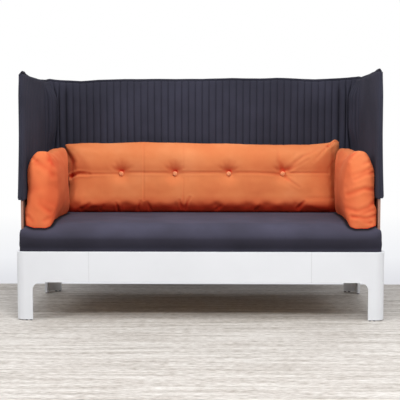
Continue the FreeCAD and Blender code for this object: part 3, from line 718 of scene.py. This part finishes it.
def paint_shade_turned_away(piece, level, down, sideways=0.0):
    """Paints shade on cloth that faces down or sideways, which gets less light and more of it off its own
    kind. level is for a face that looks level forwards, down and sideways say how much more for one that
    looks there."""
    ways = array_of(piece, "normal")
    paint_shade(piece, np.clip(level - down * ways[:, 2] + sideways * np.abs(ways[:, 0]), 0, 1))


def paint_shade_below(piece, height, reach, most):
    """Less light comes to the foot of a piece, so shade is painted there: its cloth darkens from height
    down, by most past reach.
    """
    paint_shade(piece, most * np.clip((height - array_of(piece, "co")[:, 2]) / reach, 0, 1))


def push(piece, centre, reach, shift):
    """Moves the cloth round a point by shift, less with distance. reach is per axis."""
    places = array_of(piece, "co")
    gap = np.linalg.norm((places - np.array(centre)) / np.array(reach), axis=1)
    put_points(piece, places + fade(gap)[:, None] * np.array(shift))


def reshape_front(piece, table):
    """Moves the front face forwards or back by its height: table has (height, shift along y), and is
    rounded off between its entries."""
    places, ways = array_of(piece, "co"), array_of(piece, "normal")
    levels = np.arange(table[0][0] - 0.04, table[-1][0] + 0.04, 0.001)
    blur = fade(np.arange(-30, 31) / 9.0)
    shifts = np.convolve(np.interp(levels, *zip(*table)), blur / blur.sum(), "same")
    facing = np.clip(0.35 - ways[:, 1] * 1.5, 0, 1)
    ends = np.clip((np.abs(places[:, 0]).max() - np.abs(places[:, 0])) / 0.05, 0, 1)
    places[:, 1] += facing * ends * np.interp(places[:, 2], levels, shifts)
    put_points(piece, places)


def crease(piece, plane, path, width, depth, strengths=(1.0, 1.0)):
    """Presses a crease along a path of (x, z) points on the upright plane y = plane. The cloth rises in a
    low lip on both sides, and a crease pressed in gets painted shade in its groove. strengths are at the
    path's start and end."""
    places, ways = array_of(piece, "co"), array_of(piece, "normal")
    share = (plane - EYE[1]) / (places[:, 1] - EYE[1])
    flat = (EYE + (places - EYE) * share[:, None])[:, (0, 2)]
    toward = (EYE - places) / np.linalg.norm(EYE - places, axis=1, keepdims=True)
    facing = np.clip((ways * toward).sum(axis=1) * 2.0, 0, 1)
    path = np.array(path, dtype=float)
    steps = path[1:] - path[:-1]
    lengths = np.linalg.norm(steps, axis=1)
    nearest = np.full(len(flat), 1e9)
    strength = np.zeros(len(flat))
    run = 0.0
    for start, step, length in zip(path, steps, lengths):
        part = np.clip(((flat - start) @ step) / length ** 2, 0, 1)
        gap = np.linalg.norm(flat - start - part[:, None] * step, axis=1)
        closer = gap < nearest
        nearest[closer] = gap[closer]
        done = (run + part[closer] * length) / lengths.sum()
        strength[closer] = strengths[0] + (strengths[1] - strengths[0]) * done
        run += length
    groove = fade(nearest / width)
    shape = LIP * fade((nearest - 2.0 * width) / (0.9 * width)) - groove
    put_points(piece, places + ways * (depth * strength * facing * shape)[:, None])
    paint_shade(piece, np.clip(depth / 0.014, 0, 0.4) * strength * facing * groove)


def tuft(piece, x, z, floor, front=True):
    """Draws the face in round a button, to floor. Over a front button the dent reaches twice as far as
    under it."""
    places, ways = array_of(piece, "co"), array_of(piece, "normal")
    across, up = places[:, 0] - x, places[:, 2] - z
    reach_up = np.where(up > 0, 0.050, 0.026) if front else 0.03
    gap = np.hypot(across / 0.036, up / reach_up)
    seat = np.hypot(across, up) < 0.0125
    pull = np.where(seat, 1.0, np.exp(-np.maximum(gap - 0.25, 0) ** 1.2 * 1.6))
    facing = np.clip(ways[:, 1] * (-1.5 if front else 1.5), 0, 1)
    places[:, 1] += pull * facing * (floor - places[:, 1])
    put_points(piece, places)


def ripple(piece, size, amount, seed):
    """Lumps of stuffing: soft noise of that size and height, along the normals."""
    places, ways = array_of(piece, "co"), array_of(piece, "normal")
    rise = np.array([noise.noise(Vector((x / size, y / size, z / size + seed))) for x, y, z in places])
    put_points(piece, places + ways * (rise * amount)[:, None])


def gather_along(piece, height, reach, amount):
    """Small gathers on the front, side by side along a level seam."""
    places, ways = array_of(piece, "co"), array_of(piece, "normal")
    wave = np.array([noise.noise(Vector((x * 20.0, 0.0, 4.0))) for x in places[:, 0]])
    facing = np.clip(0.6 - ways[:, 1] * 2.0, 0, 1)
    places[:, 1] += amount * facing * wave * fade((places[:, 2] - height) / reach)
    put_points(piece, places)


def surface_of(piece):
    """The piece's surface, to find the nearest place on it, and its low and high corners."""
    tree = BVHTree.FromPolygons([v.co for v in piece.data.vertices],
                                [p.vertices for p in piece.data.polygons])
    places = array_of(piece, "co")
    return tree, places.min(axis=0), places.max(axis=0)


def keep_off(piece, other, near_by=0.028):
    """Moves every point that lies inside another piece, or very nearly, out to its surface. Along the line
    where they meet, shade is painted into the cloth."""
    tree, lowest, highest = surface_of(other)
    places = array_of(piece, "co")
    near = np.all((places > lowest - near_by) & (places < highest + near_by), axis=1)
    moved = 0
    hollow = np.zeros(len(places))
    for index in np.flatnonzero(near):
        spot, way, _, _ = tree.find_nearest(Vector(places[index]))
        clear = (Vector(places[index]) - spot).dot(way)
        hollow[index] = fade(max(0.0, clear) / near_by * 2)
        if clear < CLEARANCE:
            places[index] = spot + way * CLEARANCE
            moved += 1
    put_points(piece, places)
    paint_shade(piece, hollow)
    print(piece.name, "kept off", other.name, "at", moved, "points")


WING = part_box("cover_inner_layer")[1][0] - QUILT - 0.0028     # the wings' quilting, less a little room
SHELL_INSIDE = SHELL_HIGH[0] - SHELL_PLY - 0.0015
BACK_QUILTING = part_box("cover_inner_layer")[1][1] - QUILT - 0.0015


def keep_between_wings(piece):
    """Above the hem the quilting bounds a cushion, below it the shell."""
    places = array_of(piece, "co")
    share = np.clip((places[:, 2] - (INNER_HEM - 0.035)) / 0.030, 0, 1)
    limit = SHELL_INSIDE + (WING - SHELL_INSIDE) * share * share * (3 - 2 * share)
    places[:, 0] = np.clip(places[:, 0], -limit, limit)
    places[:, 1] = np.minimum(places[:, 1], BACK_QUILTING)
    put_points(piece, places)


# %% [markdown]
# ## Seat pad
# The pad is foam in a cloth cover: flat on top with a broad roll at the front, and wider in
# front of the wings than between them. Foam hardly swells, so a small cap is enough. Where
# people sit the cover has been pulled forward and lies in one long, low, soft fold.

# %% Make the seat pad
BASE_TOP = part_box("front_rail")[1][2]
NOSE_START = -0.29      # where the roll begins, and it is full 60 mm further on
FULLEST = 0.374         # height of its fullest line
TURNS_UNDER = 0.356     # height below which it goes back again
SEAT_FOLD = ((-0.62, 0.424), (-0.31, 0.417), (0.0, 0.430), (0.31, 0.434), (0.62, 0.426))
# For the nose's right end, and mirrored for the left: place, reach, shift.
SEAT_PUSHES = (
    ((0.775, -0.34, 0.385), (0.030, 0.10, 0.035), (-0.002, 0.0, 0.014)),      # its upper corner
    ((0.785, -0.34, 0.325), (0.040, 0.10, 0.022), (0.004, 0.0, 0.0)),         # its lower corner
)


def roll_the_front(piece):
    """The nose of the pad is a round roll: fullest a little above the rail, and turned under below."""
    places = array_of(piece, "co")
    near = np.clip((NOSE_START - places[:, 1]) / 0.06, 0, 1)
    over = np.clip((places[:, 2] - BASE_TOP) / 0.012, 0, 1)
    bulge = 0.013 * fade((places[:, 2] - FULLEST) / 0.030)
    under = 0.012 * np.clip((TURNS_UNDER - places[:, 2]) / 0.05, 0, 1)
    places[:, 1] += near * over * (under - bulge)
    put_points(piece, places)


def push_mirrored(piece, way, table):
    """Pushes at places on the right (way 1), or at the same ones on the left (way -1)."""
    for (x, y, z), reach, (across, along, up) in table:
        push(piece, (way * x, y, z), reach, (way * across, along, up))


seat = copied("seat_pad", "seat_pad_soft", 0.010, 4)
inflate(seat, 1.5, 0.003, 12)
fill_out(seat, "seat_pad")
subdivide(seat)
roll_the_front(seat)
for way in (-1, 1):
    push_mirrored(seat, way, SEAT_PUSHES)
crease(seat, -0.20, SEAT_FOLD, 0.010, -0.0022)
ripple(seat, 0.22, 0.0012, 3.0)
# painted shade: the pad's cloth darker from the roll down to the rail
paint_shade_below(seat, 0.402, 0.075, 0.575)
dress(seat, "seat", 0.9, "seat_pad")

# %% [markdown]
# ## Back cushion
# A long loose cushion, tufted with four covered buttons on a line. The twine draws the face in
# to a level valley with a roll of stuffing above and below it, and from each button short
# creases run up. It is sewn from panels, so faint upright seams show. The right end's upper
# corner stands up as an ear.

# %% Make the back cushion
BUTTONS_LOW, BUTTONS_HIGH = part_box("front_buttons")
BUTTON_RADIUS = (BUTTONS_HIGH[2] - BUTTONS_LOW[2]) / 2
BUTTON_Z = (BUTTONS_HIGH[2] + BUTTONS_LOW[2]) / 2
COVERED_RADIUS = BUTTON_RADIUS * 1.12      # the cloth over it makes the button a little bigger
BUTTON_PLACES = [(BUTTONS_HIGH[0] - BUTTON_RADIUS) * (n * 2 / 3 - 1) for n in range(4)]
FACE = 0.228        # the plane on which the creases of the back cushion are drawn
EVERYWHERE = 9.0    # a reach that takes in the whole length

# The swell of its front by height: two rolls with the buttons' valley between, turned under below.
BACK_SWELL = ((0.420, -0.010), (0.440, -0.014), (0.460, -0.0155), (0.480, -0.015), (0.500, -0.014),
              (0.520, -0.011), (0.540, -0.007), (0.560, -0.003), (0.580, 0.001), (0.600, 0.005),
              (0.612, 0.0065), (0.622, 0.007), (0.632, 0.0055), (0.645, 0.003), (0.660, 0.001),
              (0.680, -0.001), (0.700, -0.003), (0.720, -0.005), (0.740, -0.004), (0.760, 0.0))
# Short creases that run up from each button: lean to the side, rise.
BUTTON_CREASES = ((-0.052, 0.024), (-0.028, 0.044), (0.002, 0.052), (0.026, 0.038), (0.050, 0.020))
# The others: path, width, depth, strengths.
BACK_CREASES = (
    (((-0.676, 0.727), (-0.659, 0.704), (-0.642, 0.670), (-0.654, 0.596)), 0.013, 0.008, (0.6, 1.0)),
    (((-0.652, 0.596), (-0.635, 0.606), (-0.610, 0.614), (-0.560, 0.611)), 0.007, 0.010, (1.0, 0.2)),
    (((-0.560, 0.611), (-0.410, 0.612)), 0.005, 0.002, (1.0, 0.6)),
    (((-0.288, 0.770), (-0.289, 0.483)), 0.004, 0.0016, (0.6, 1.0)),
    (((-0.092, 0.590), (-0.093, 0.453)), 0.004, 0.0024, (0.4, 1.0)),
    (((-0.092, 0.770), (-0.092, 0.640)), 0.004, 0.0012, (0.8, 0.5)),
    (((-0.306, 0.475), (-0.318, 0.440)), 0.006, 0.004, (0.3, 1.0)),
    (((-0.270, 0.472), (-0.255, 0.440)), 0.006, 0.003, (0.3, 1.0)),
    (((-0.112, 0.480), (-0.099, 0.448)), 0.006, 0.004, (0.4, 1.0)),
    (((-0.060, 0.495), (-0.083, 0.445)), 0.006, 0.0045, (0.4, 1.0)),
    (((-0.425, 0.466), (-0.415, 0.430)), 0.006, 0.005, (0.3, 1.0)),
    (((0.421, 0.632), (0.499, 0.699), (0.549, 0.727), (0.600, 0.756)), 0.009, 0.0028, (1.0, 0.4)),
    (((0.431, 0.627), (0.524, 0.686)), 0.007, 0.0022, (1.0, 0.3)),
    (((0.413, 0.596), (0.483, 0.546)), 0.006, 0.0040, (1.0, 0.2)),
    (((0.426, 0.617), (0.628, 0.617)), 0.005, 0.0022, (1.0, 0.5)),
    (((0.397, 0.636), (0.380, 0.677), (0.376, 0.736)), 0.008, 0.0035, (1.0, 0.2)),
    (((0.388, 0.607), (0.300, 0.612)), 0.006, 0.0025, (1.0, 0.2)),
    (((0.556, 0.677), (0.606, 0.739), (0.620, 0.756)), 0.007, 0.0030, (0.2, 1.0)),
    (((0.622, 0.752), (0.642, 0.765), (0.664, 0.762)), 0.006, 0.0065, (0.7, 1.0)),
    (((0.645, 0.733), (0.648, 0.600), (0.654, 0.495)), 0.007, 0.0015, (1.0, 0.7)),
    (((-0.60, 0.440), (-0.56, 0.462)), 0.007, 0.0040, (1.0, 0.4)),
    (((-0.505, 0.436), (-0.490, 0.455)), 0.006, 0.0035, (1.0, 0.4)),
    (((0.07, 0.438), (0.10, 0.458)), 0.006, 0.0030, (1.0, 0.3)),
    (((0.27, 0.436), (0.285, 0.452)), 0.006, 0.0030, (1.0, 0.3)),
    (((0.478, 0.446), (0.506, 0.472)), 0.007, 0.0040, (1.0, 0.5)),
    (((0.526, 0.493), (0.654, 0.494)), 0.008, 0.0014, (0.4, 1.0)),
)
# Where hands have pushed the cloth: place, reach, shift.
BACK_PUSHES = (
    ((0.664, 0.285, 0.775), (0.020, 0.2, 0.035), (0.0, 0.0, 0.019)),      # the ear
    ((0.675, 0.285, 0.735), (0.040, 0.2, 0.040), (0.008, 0.0, 0.0)),      # both upper ends, outwards
    ((-0.682, 0.285, 0.740), (0.050, 0.2, 0.050), (-0.008, 0.0, 0.0)),
    ((0.36, 0.285, 0.775), (0.27, 0.2, 0.06), (0.0, 0.0, -0.009)),        # the top edge sags here
    ((-0.66, 0.285, 0.780), (0.06, 0.2, 0.05), (0.0, 0.0, -0.007)),
    ((-0.28, 0.285, 0.775), (0.14, 0.2, 0.06), (0.0, 0.0, 0.004)),        # and rises between
    ((0.0, 0.28, 0.42), (EVERYWHERE, 0.2, 0.030), (0.0, 0.0, -0.006)),    # its weight on the seat
)

back = copied("back_cushion", "back_cushion_soft", 0.008, 10)
inflate(back, 4.0, 0.010)
fill_out(back, "back_cushion", (0, 2))
subdivide(back)
soften(back, 6)
push(back, (0.0, 0.23, 0.455), (EVERYWHERE, 0.06, 0.040), (0.0, -0.018, 0.0))     # the lower roll
reshape_front(back, BACK_SWELL)
soften(back, 2)
crease(back, FACE, ((-0.397, 0.619), (-0.134, 0.617), (0.133, 0.619), (0.404, 0.616)), 0.006, 0.0018)
for x in BUTTON_PLACES:
    for lean, rise in BUTTON_CREASES:
        path = ((x + lean * 0.2, 0.626), (x + lean, 0.626 + rise))
        crease(back, FACE, path, 0.008, 0.0036, (1.0, 0.1))
for x in BUTTON_PLACES:
    tuft(back, x, BUTTON_Z, BUTTONS_HIGH[1])
    tuft(back, x, BUTTON_Z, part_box("rear_buttons")[0][1], front=False)
for path, width, depth, strengths in BACK_CREASES:
    crease(back, FACE, path, width, depth, strengths)
for centre, reach, shift in BACK_PUSHES:
    push(back, centre, reach, shift)
gather_along(back, 0.458, 0.017, 0.009)
ripple(back, 0.11, 0.0030, 0.0)
ripple(back, 0.035, 0.0008, 9.0)
soften(back, 1)
keep_between_wings(back)
# painted shade: along where it meets the seat, darker and redder on faces turned down, and towards its foot
keep_off(back, seat)
paint_shade_turned_away(back, 0.10, 0.58)
paint_shade_below(back, 0.510, 0.06, 0.5)
dress(back, "back_cushion", 0.7, "back_cushion")

# %% [markdown]
# ## Covered buttons
# Each front button is a small dome with cloth drawn tight over it, which opens the weave and can make it a
# little paler; its cloth is also given a paler orange than the cushion's, a painted highlight that keeps
# the domes bright in the shade of the valley. It is turned like a lathe part: its half outline is spun
# round its axis.

# %% Make the buttons
# Half the outline of a button: share of the radius, how far it stands out.
DOME = ((0.0, 0.0), (0.85, 0.0), (1.0, 0.0028), (0.97, 0.0055), (0.84, 0.0078), (0.55, 0.0092),
        (0.0, 0.0098))


def covered_buttons():
    mesh = bmesh.new()
    for x in BUTTON_PLACES:
        outline = [mesh.verts.new((x + share * COVERED_RADIUS, BUTTONS_HIGH[1] - out, BUTTON_Z))
                   for share, out in DOME]
        edges = [mesh.edges.new(pair) for pair in zip(outline, outline[1:])]
        bmesh.ops.spin(mesh, geom=outline + edges, cent=(x, 0, BUTTON_Z), axis=(0, 1, 0),
                       angle=2 * math.pi, steps=24, use_merge=True)
    bmesh.ops.remove_doubles(mesh, verts=mesh.verts[:], dist=1e-5)
    bmesh.ops.recalc_face_normals(mesh, faces=mesh.faces[:])
    # a paler copy of the orange cloth: painted highlight on the buttons
    cloth = wool("orange_cloth_painted_lighter", "#ea8f60", "#f09a6b", "#f4a476", 0.08)
    dress(as_object(mesh, "covered_buttons", cloth), "back_cushion", None, "front_buttons")


covered_buttons()

# %% [markdown]
# ## Side cushions
# Two loose cushions stand on edge along the wings. Their front ends hang over the roll of the
# seat, the stuffing has sunk into the lower half, and the slack cloth lies in slanting folds.
# Behind the front lobe the top dips and rises again to a second, smaller one.

# %% Make the side cushions
SIDE_FACE = -0.33       # the plane on which their creases are drawn
# Each cushion's own folds: path, width, depth, strengths.
SIDE_CREASES = {
    "left": (
        (((-0.735, 0.712), (-0.716, 0.692)), 0.007, 0.0025, (0.6, 1.0)),
        (((-0.708, 0.682), (-0.661, 0.657), (-0.643, 0.632)), 0.014, 0.0050, (0.7, 0.6)),
        (((-0.652, 0.692), (-0.628, 0.678)), 0.017, 0.0060, (1.0, 0.9)),
        (((-0.661, 0.738), (-0.651, 0.712)), 0.008, 0.0060, (1.0, 0.4)),
        (((-0.755, 0.450), (-0.735, 0.425)), 0.007, 0.0025, (1.0, 0.6)),
        (((-0.700, 0.499), (-0.656, 0.469)), 0.010, 0.0030, (0.6, 1.0)),
        (((-0.679, 0.430), (-0.619, 0.466)), 0.008, 0.0020, (1.0, 0.3)),
        (((-0.755, 0.560), (-0.690, 0.578)), 0.018, 0.0022, (1.0, 0.3)),
        (((-0.700, 0.520), (-0.640, 0.500)), 0.016, 0.0022, (1.0, 0.5))),
    "right": (
        (((0.673, 0.736), (0.629, 0.697), (0.604, 0.672)), 0.009, 0.0055, (1.0, 0.5)),
        (((0.748, 0.694), (0.709, 0.679)), 0.007, 0.0035, (1.0, 0.3)),
        (((0.757, 0.643), (0.715, 0.634), (0.672, 0.612)), 0.008, 0.0038, (1.0, 0.4)),
        (((0.663, 0.630), (0.702, 0.643), (0.736, 0.656)), 0.007, 0.0030, (0.4, 1.0)),
        (((0.760, 0.567), (0.715, 0.572), (0.641, 0.547)), 0.009, 0.0045, (1.0, 0.5)),
        (((0.764, 0.518), (0.731, 0.487), (0.682, 0.472), (0.632, 0.487)), 0.009, 0.0038, (1.0, 0.4)),
        (((0.750, 0.477), (0.697, 0.457)), 0.007, 0.0032, (1.0, 0.5)),
        (((0.764, 0.455), (0.730, 0.442), (0.661, 0.449)), 0.007, 0.0038, (0.8, 1.0)),
        (((0.743, 0.422), (0.700, 0.434)), 0.007, 0.0030, (1.0, 0.4))),
}
# For the right one, and mirrored for the left: place, reach, shift.
SIDE_PUSHES = (
    ((0.76, -0.30, 0.44), (0.07, 0.14, 0.09), (0.022, -0.004, -0.006)),       # the stuffing has sunk
    ((0.76, -0.30, 0.60), (0.07, 0.14, 0.12), (0.008, 0.0, 0.0)),
    ((0.755, -0.31, 0.412), (0.040, 0.10, 0.032), (0.013, -0.006, -0.011)),   # lower front corners
    ((0.665, -0.33, 0.412), (0.030, 0.08, 0.030), (-0.005, -0.004, -0.006)),
    ((0.69, -0.14, 0.74), (0.20, 0.05, 0.06), (0.0, 0.0, -0.008)),            # the dip and the lobe behind
    ((0.69, 0.08, 0.74), (0.20, 0.11, 0.06), (0.0, 0.0, 0.009)),
    ((0.69, 0.0, 0.42), (0.20, EVERYWHERE, 0.030), (0.0, 0.0, -0.010)),       # its weight on the seat
)

cushions = [back]
for side, way in (("left", -1), ("right", 1)):
    cushion = copied(side + "_side_cushion", side + "_cushion_soft", 0.008, 10)
    inflate(cushion, 4.0, 0.008)
    fill_out(cushion, side + "_side_cushion", (1, 2))
    subdivide(cushion)
    soften(cushion, 6)
    push_mirrored(cushion, way, SIDE_PUSHES)
    for path, width, depth, strengths in SIDE_CREASES[side]:
        crease(cushion, SIDE_FACE, path, width, depth, strengths)
    ripple(cushion, 0.10, 0.0040, 5.0 + way)
    ripple(cushion, 0.035, 0.0009, 2.0 + way)
    soften(cushion, 1)
    keep_between_wings(cushion)
    # painted shade: along where it meets the seat and the back cushion, on faces turned down or sideways,
    # and towards its foot
    keep_off(cushion, seat, near_by=0.004)
    keep_off(cushion, back, near_by=0.014)
    paint_shade_turned_away(cushion, 0.27, 0.14, 0.22)
    paint_shade_below(cushion, 0.56, 0.08, 0.08)
    dress(cushion, side + "_cushion", 0.6, side + "_side_cushion")
    cushions.append(cushion)

# %% Paint shade on the seat where the cushions lie on it
def shade_contact(piece, others, reach):
    """Little light gets in between two pieces that touch, so shade is painted along that line, where the
    cloth is darkest.
    """
    places = array_of(piece, "co")
    nearest = np.full(len(places), 1.0)
    for other in others:
        tree, lowest, highest = surface_of(other)
        near = np.all((places > lowest - 2 * reach) & (places < highest + 2 * reach), axis=1)
        for index in np.flatnonzero(near):
            nearest[index] = min(nearest[index], tree.find_nearest(Vector(places[index]))[3])
    paint_shade(piece, 2.2 * fade(nearest / reach))


shade_contact(seat, cushions, 0.012)
print("contact shaded")

# %% [markdown]
# ## Floor, light and camera
# The photograph was taken straight on from a little over four metres with a long lens, in a white room. The
# floor is limed oak: pale, with broad and fine grey-brown streaks from side to side. A white wall stands
# right behind the sofa, so for a camera in front the floor's own material turns into a glowing wall there,
# painted a little grey at its foot as shade. Two narrow soft lamps give the two shadow edges that the
# picture shows under the front rail: one overhead and one in front.
# Two broader ones at the sides light the cushions' inner sides.

# %% The floor
WALL_Y = 0.62
WALL_HEIGHT = 0.45      # as much of it as shades anything


def floor():
    mesh = bmesh.new()
    bmesh.ops.create_grid(mesh, x_segments=1, y_segments=1, size=6.0)
    material, tree, shader, place = new_material("limed_oak_floor", Roughness=0.55)
    boards = clouds(tree, place, 1.5, 5.0, (1.6, 20.0, 1.0))
    streaks = clouds(tree, place, 1.0, 5.0, (30.0, 170.0, 1.0), Roughness=0.65)
    tone = between(tree, 0.65, boards, streaks)
    paint(tree, shader, ramp(tree, tone, (0.38, "#978e84"), (0.5, "#c9c3bc"), (0.62, "#e6e3de")))
    roughen(tree, shader, streaks, 0.3, 0.001)

    y = parts(tree, place)[1]
    # the wall's glow, painted a little grey at its foot as shade
    shade = ramp(tree, mapped(tree, y, WALL_Y, 5.0), (0.0, "#e1e2e7"), (0.25, "#f2f3f6"), (1.0, "#ffffff"))
    wall = add(tree, "ShaderNodeEmission", {"Strength": 1.0}, {"Color": shade}).outputs[0]
    seen = add(tree, "ShaderNodeLightPath").outputs["Is Camera Ray"]
    toward_eye = add(tree, "ShaderNodeNewGeometry").outputs["Incoming"]
    from_front = calc(tree, "LESS_THAN", parts(tree, toward_eye)[1], 0.0)
    share = calc(tree, "MULTIPLY", mapped(tree, y, WALL_Y - 0.02, WALL_Y), seen)
    share = calc(tree, "MULTIPLY", share, from_front)
    mixed = add(tree, "ShaderNodeMixShader", links={0: share, 1: shader.outputs[0], 2: wall})
    tree.links.new(mixed.outputs[0], tree.nodes["Material Output"].inputs["Surface"])
    as_object(mesh, "floor", material)


floor()


def shade_wall():
    """The foot of the wall. It only shades the floor and the underside, and isn't seen itself."""
    mesh = bmesh.new()
    bmesh.ops.create_grid(mesh, x_segments=1, y_segments=1, size=0.5)
    sized = Matrix.Diagonal((6.0, WALL_HEIGHT, 1.0, 1.0))
    upright = Matrix.Translation((0, WALL_Y, WALL_HEIGHT / 2)) @ Matrix.Rotation(math.pi / 2, 4, "X")
    bmesh.ops.transform(mesh, verts=mesh.verts[:], matrix=upright @ sized)
    material, tree, shader, place = new_material("painted_plaster", Roughness=0.9)
    paint(tree, shader, ramp(tree, clouds(tree, place, 2.0), (0.3, "#e4e4e6"), (0.7, "#ececee")))
    piece = as_object(mesh, "shade_wall", material)
    piece.visible_camera = False


shade_wall()


# %% Light
def white_room():
    """The room's own light, stronger from above and from the wall behind the sofa. For the camera, in
    mirrors and through glass it is white."""
    world = bpy.data.worlds.new("white_room")
    world.use_nodes = True
    tree = world.node_tree
    tree.nodes.clear()
    _, y, z = parts(tree, add(tree, "ShaderNodeTexCoord").outputs["Generated"])
    from_above = mapped(tree, z, 0.0, 1.0, 0.28, 0.52)
    strength = calc(tree, "ADD", from_above, mapped(tree, y, 0.1, 0.7, 0.0, 0.40))
    room = add(tree, "ShaderNodeBackground", {"Color": linear("#f4f6fa")}, {"Strength": strength})
    white = add(tree, "ShaderNodeBackground", {"Color": (1, 1, 1, 1), "Strength": 1.0})
    ray = add(tree, "ShaderNodeLightPath").outputs
    direct = calc(tree, "MAXIMUM", ray["Is Camera Ray"], ray["Is Glossy Ray"])
    share = calc(tree, "MAXIMUM", direct, ray["Is Transmission Ray"])
    mixed = add(tree, "ShaderNodeMixShader", links={0: share, 1: room.outputs[0], 2: white.outputs[0]})
    add(tree, "ShaderNodeOutputWorld", links={"Surface": mixed.outputs[0]})
    return world


def softbox(name, place, target, size, power):
    lamp = bpy.data.lights.new(name, "AREA")
    lamp.shape = "RECTANGLE"
    lamp.size, lamp.size_y = size
    lamp.energy = power
    holder = bpy.data.objects.new(name, lamp)
    holder.location = place
    holder.rotation_euler = (Vector(target) - Vector(place)).to_track_quat("-Z", "Y").to_euler()
    scene.collection.objects.link(holder)


scene.world = white_room()
softbox("overhead", (-0.4, -1.05, 3.0), (0.0, -0.2, 0.2), (1.6, 0.35), 28)
softbox("left", (-3.2, -1.9, 2.2), (0.0, 0.0, 0.6), (1.2, 1.0), 37)
softbox("right", (3.2, -1.9, 2.2), (0.0, 0.0, 0.6), (1.2, 1.0), 27)
softbox("front", (0.6, -2.9, 2.5), (0.0, -0.2, 0.4), (1.8, 0.35), 55)

# %% Camera
LENS = 82.79            # mm, on a 36 mm sensor
LOOKS_DOWN = 3.997      # degrees
LOOKS_LEFT = 0.892

lens = bpy.data.cameras.new("camera")
lens.sensor_width = 36.0
lens.lens = LENS
camera = bpy.data.objects.new("camera", lens)
camera.location = EYE
camera.rotation_euler = (math.radians(90 - LOOKS_DOWN), 0, math.radians(LOOKS_LEFT))
scene.collection.objects.link(camera)
scene.camera = camera
scene.view_settings.view_transform = "Standard"
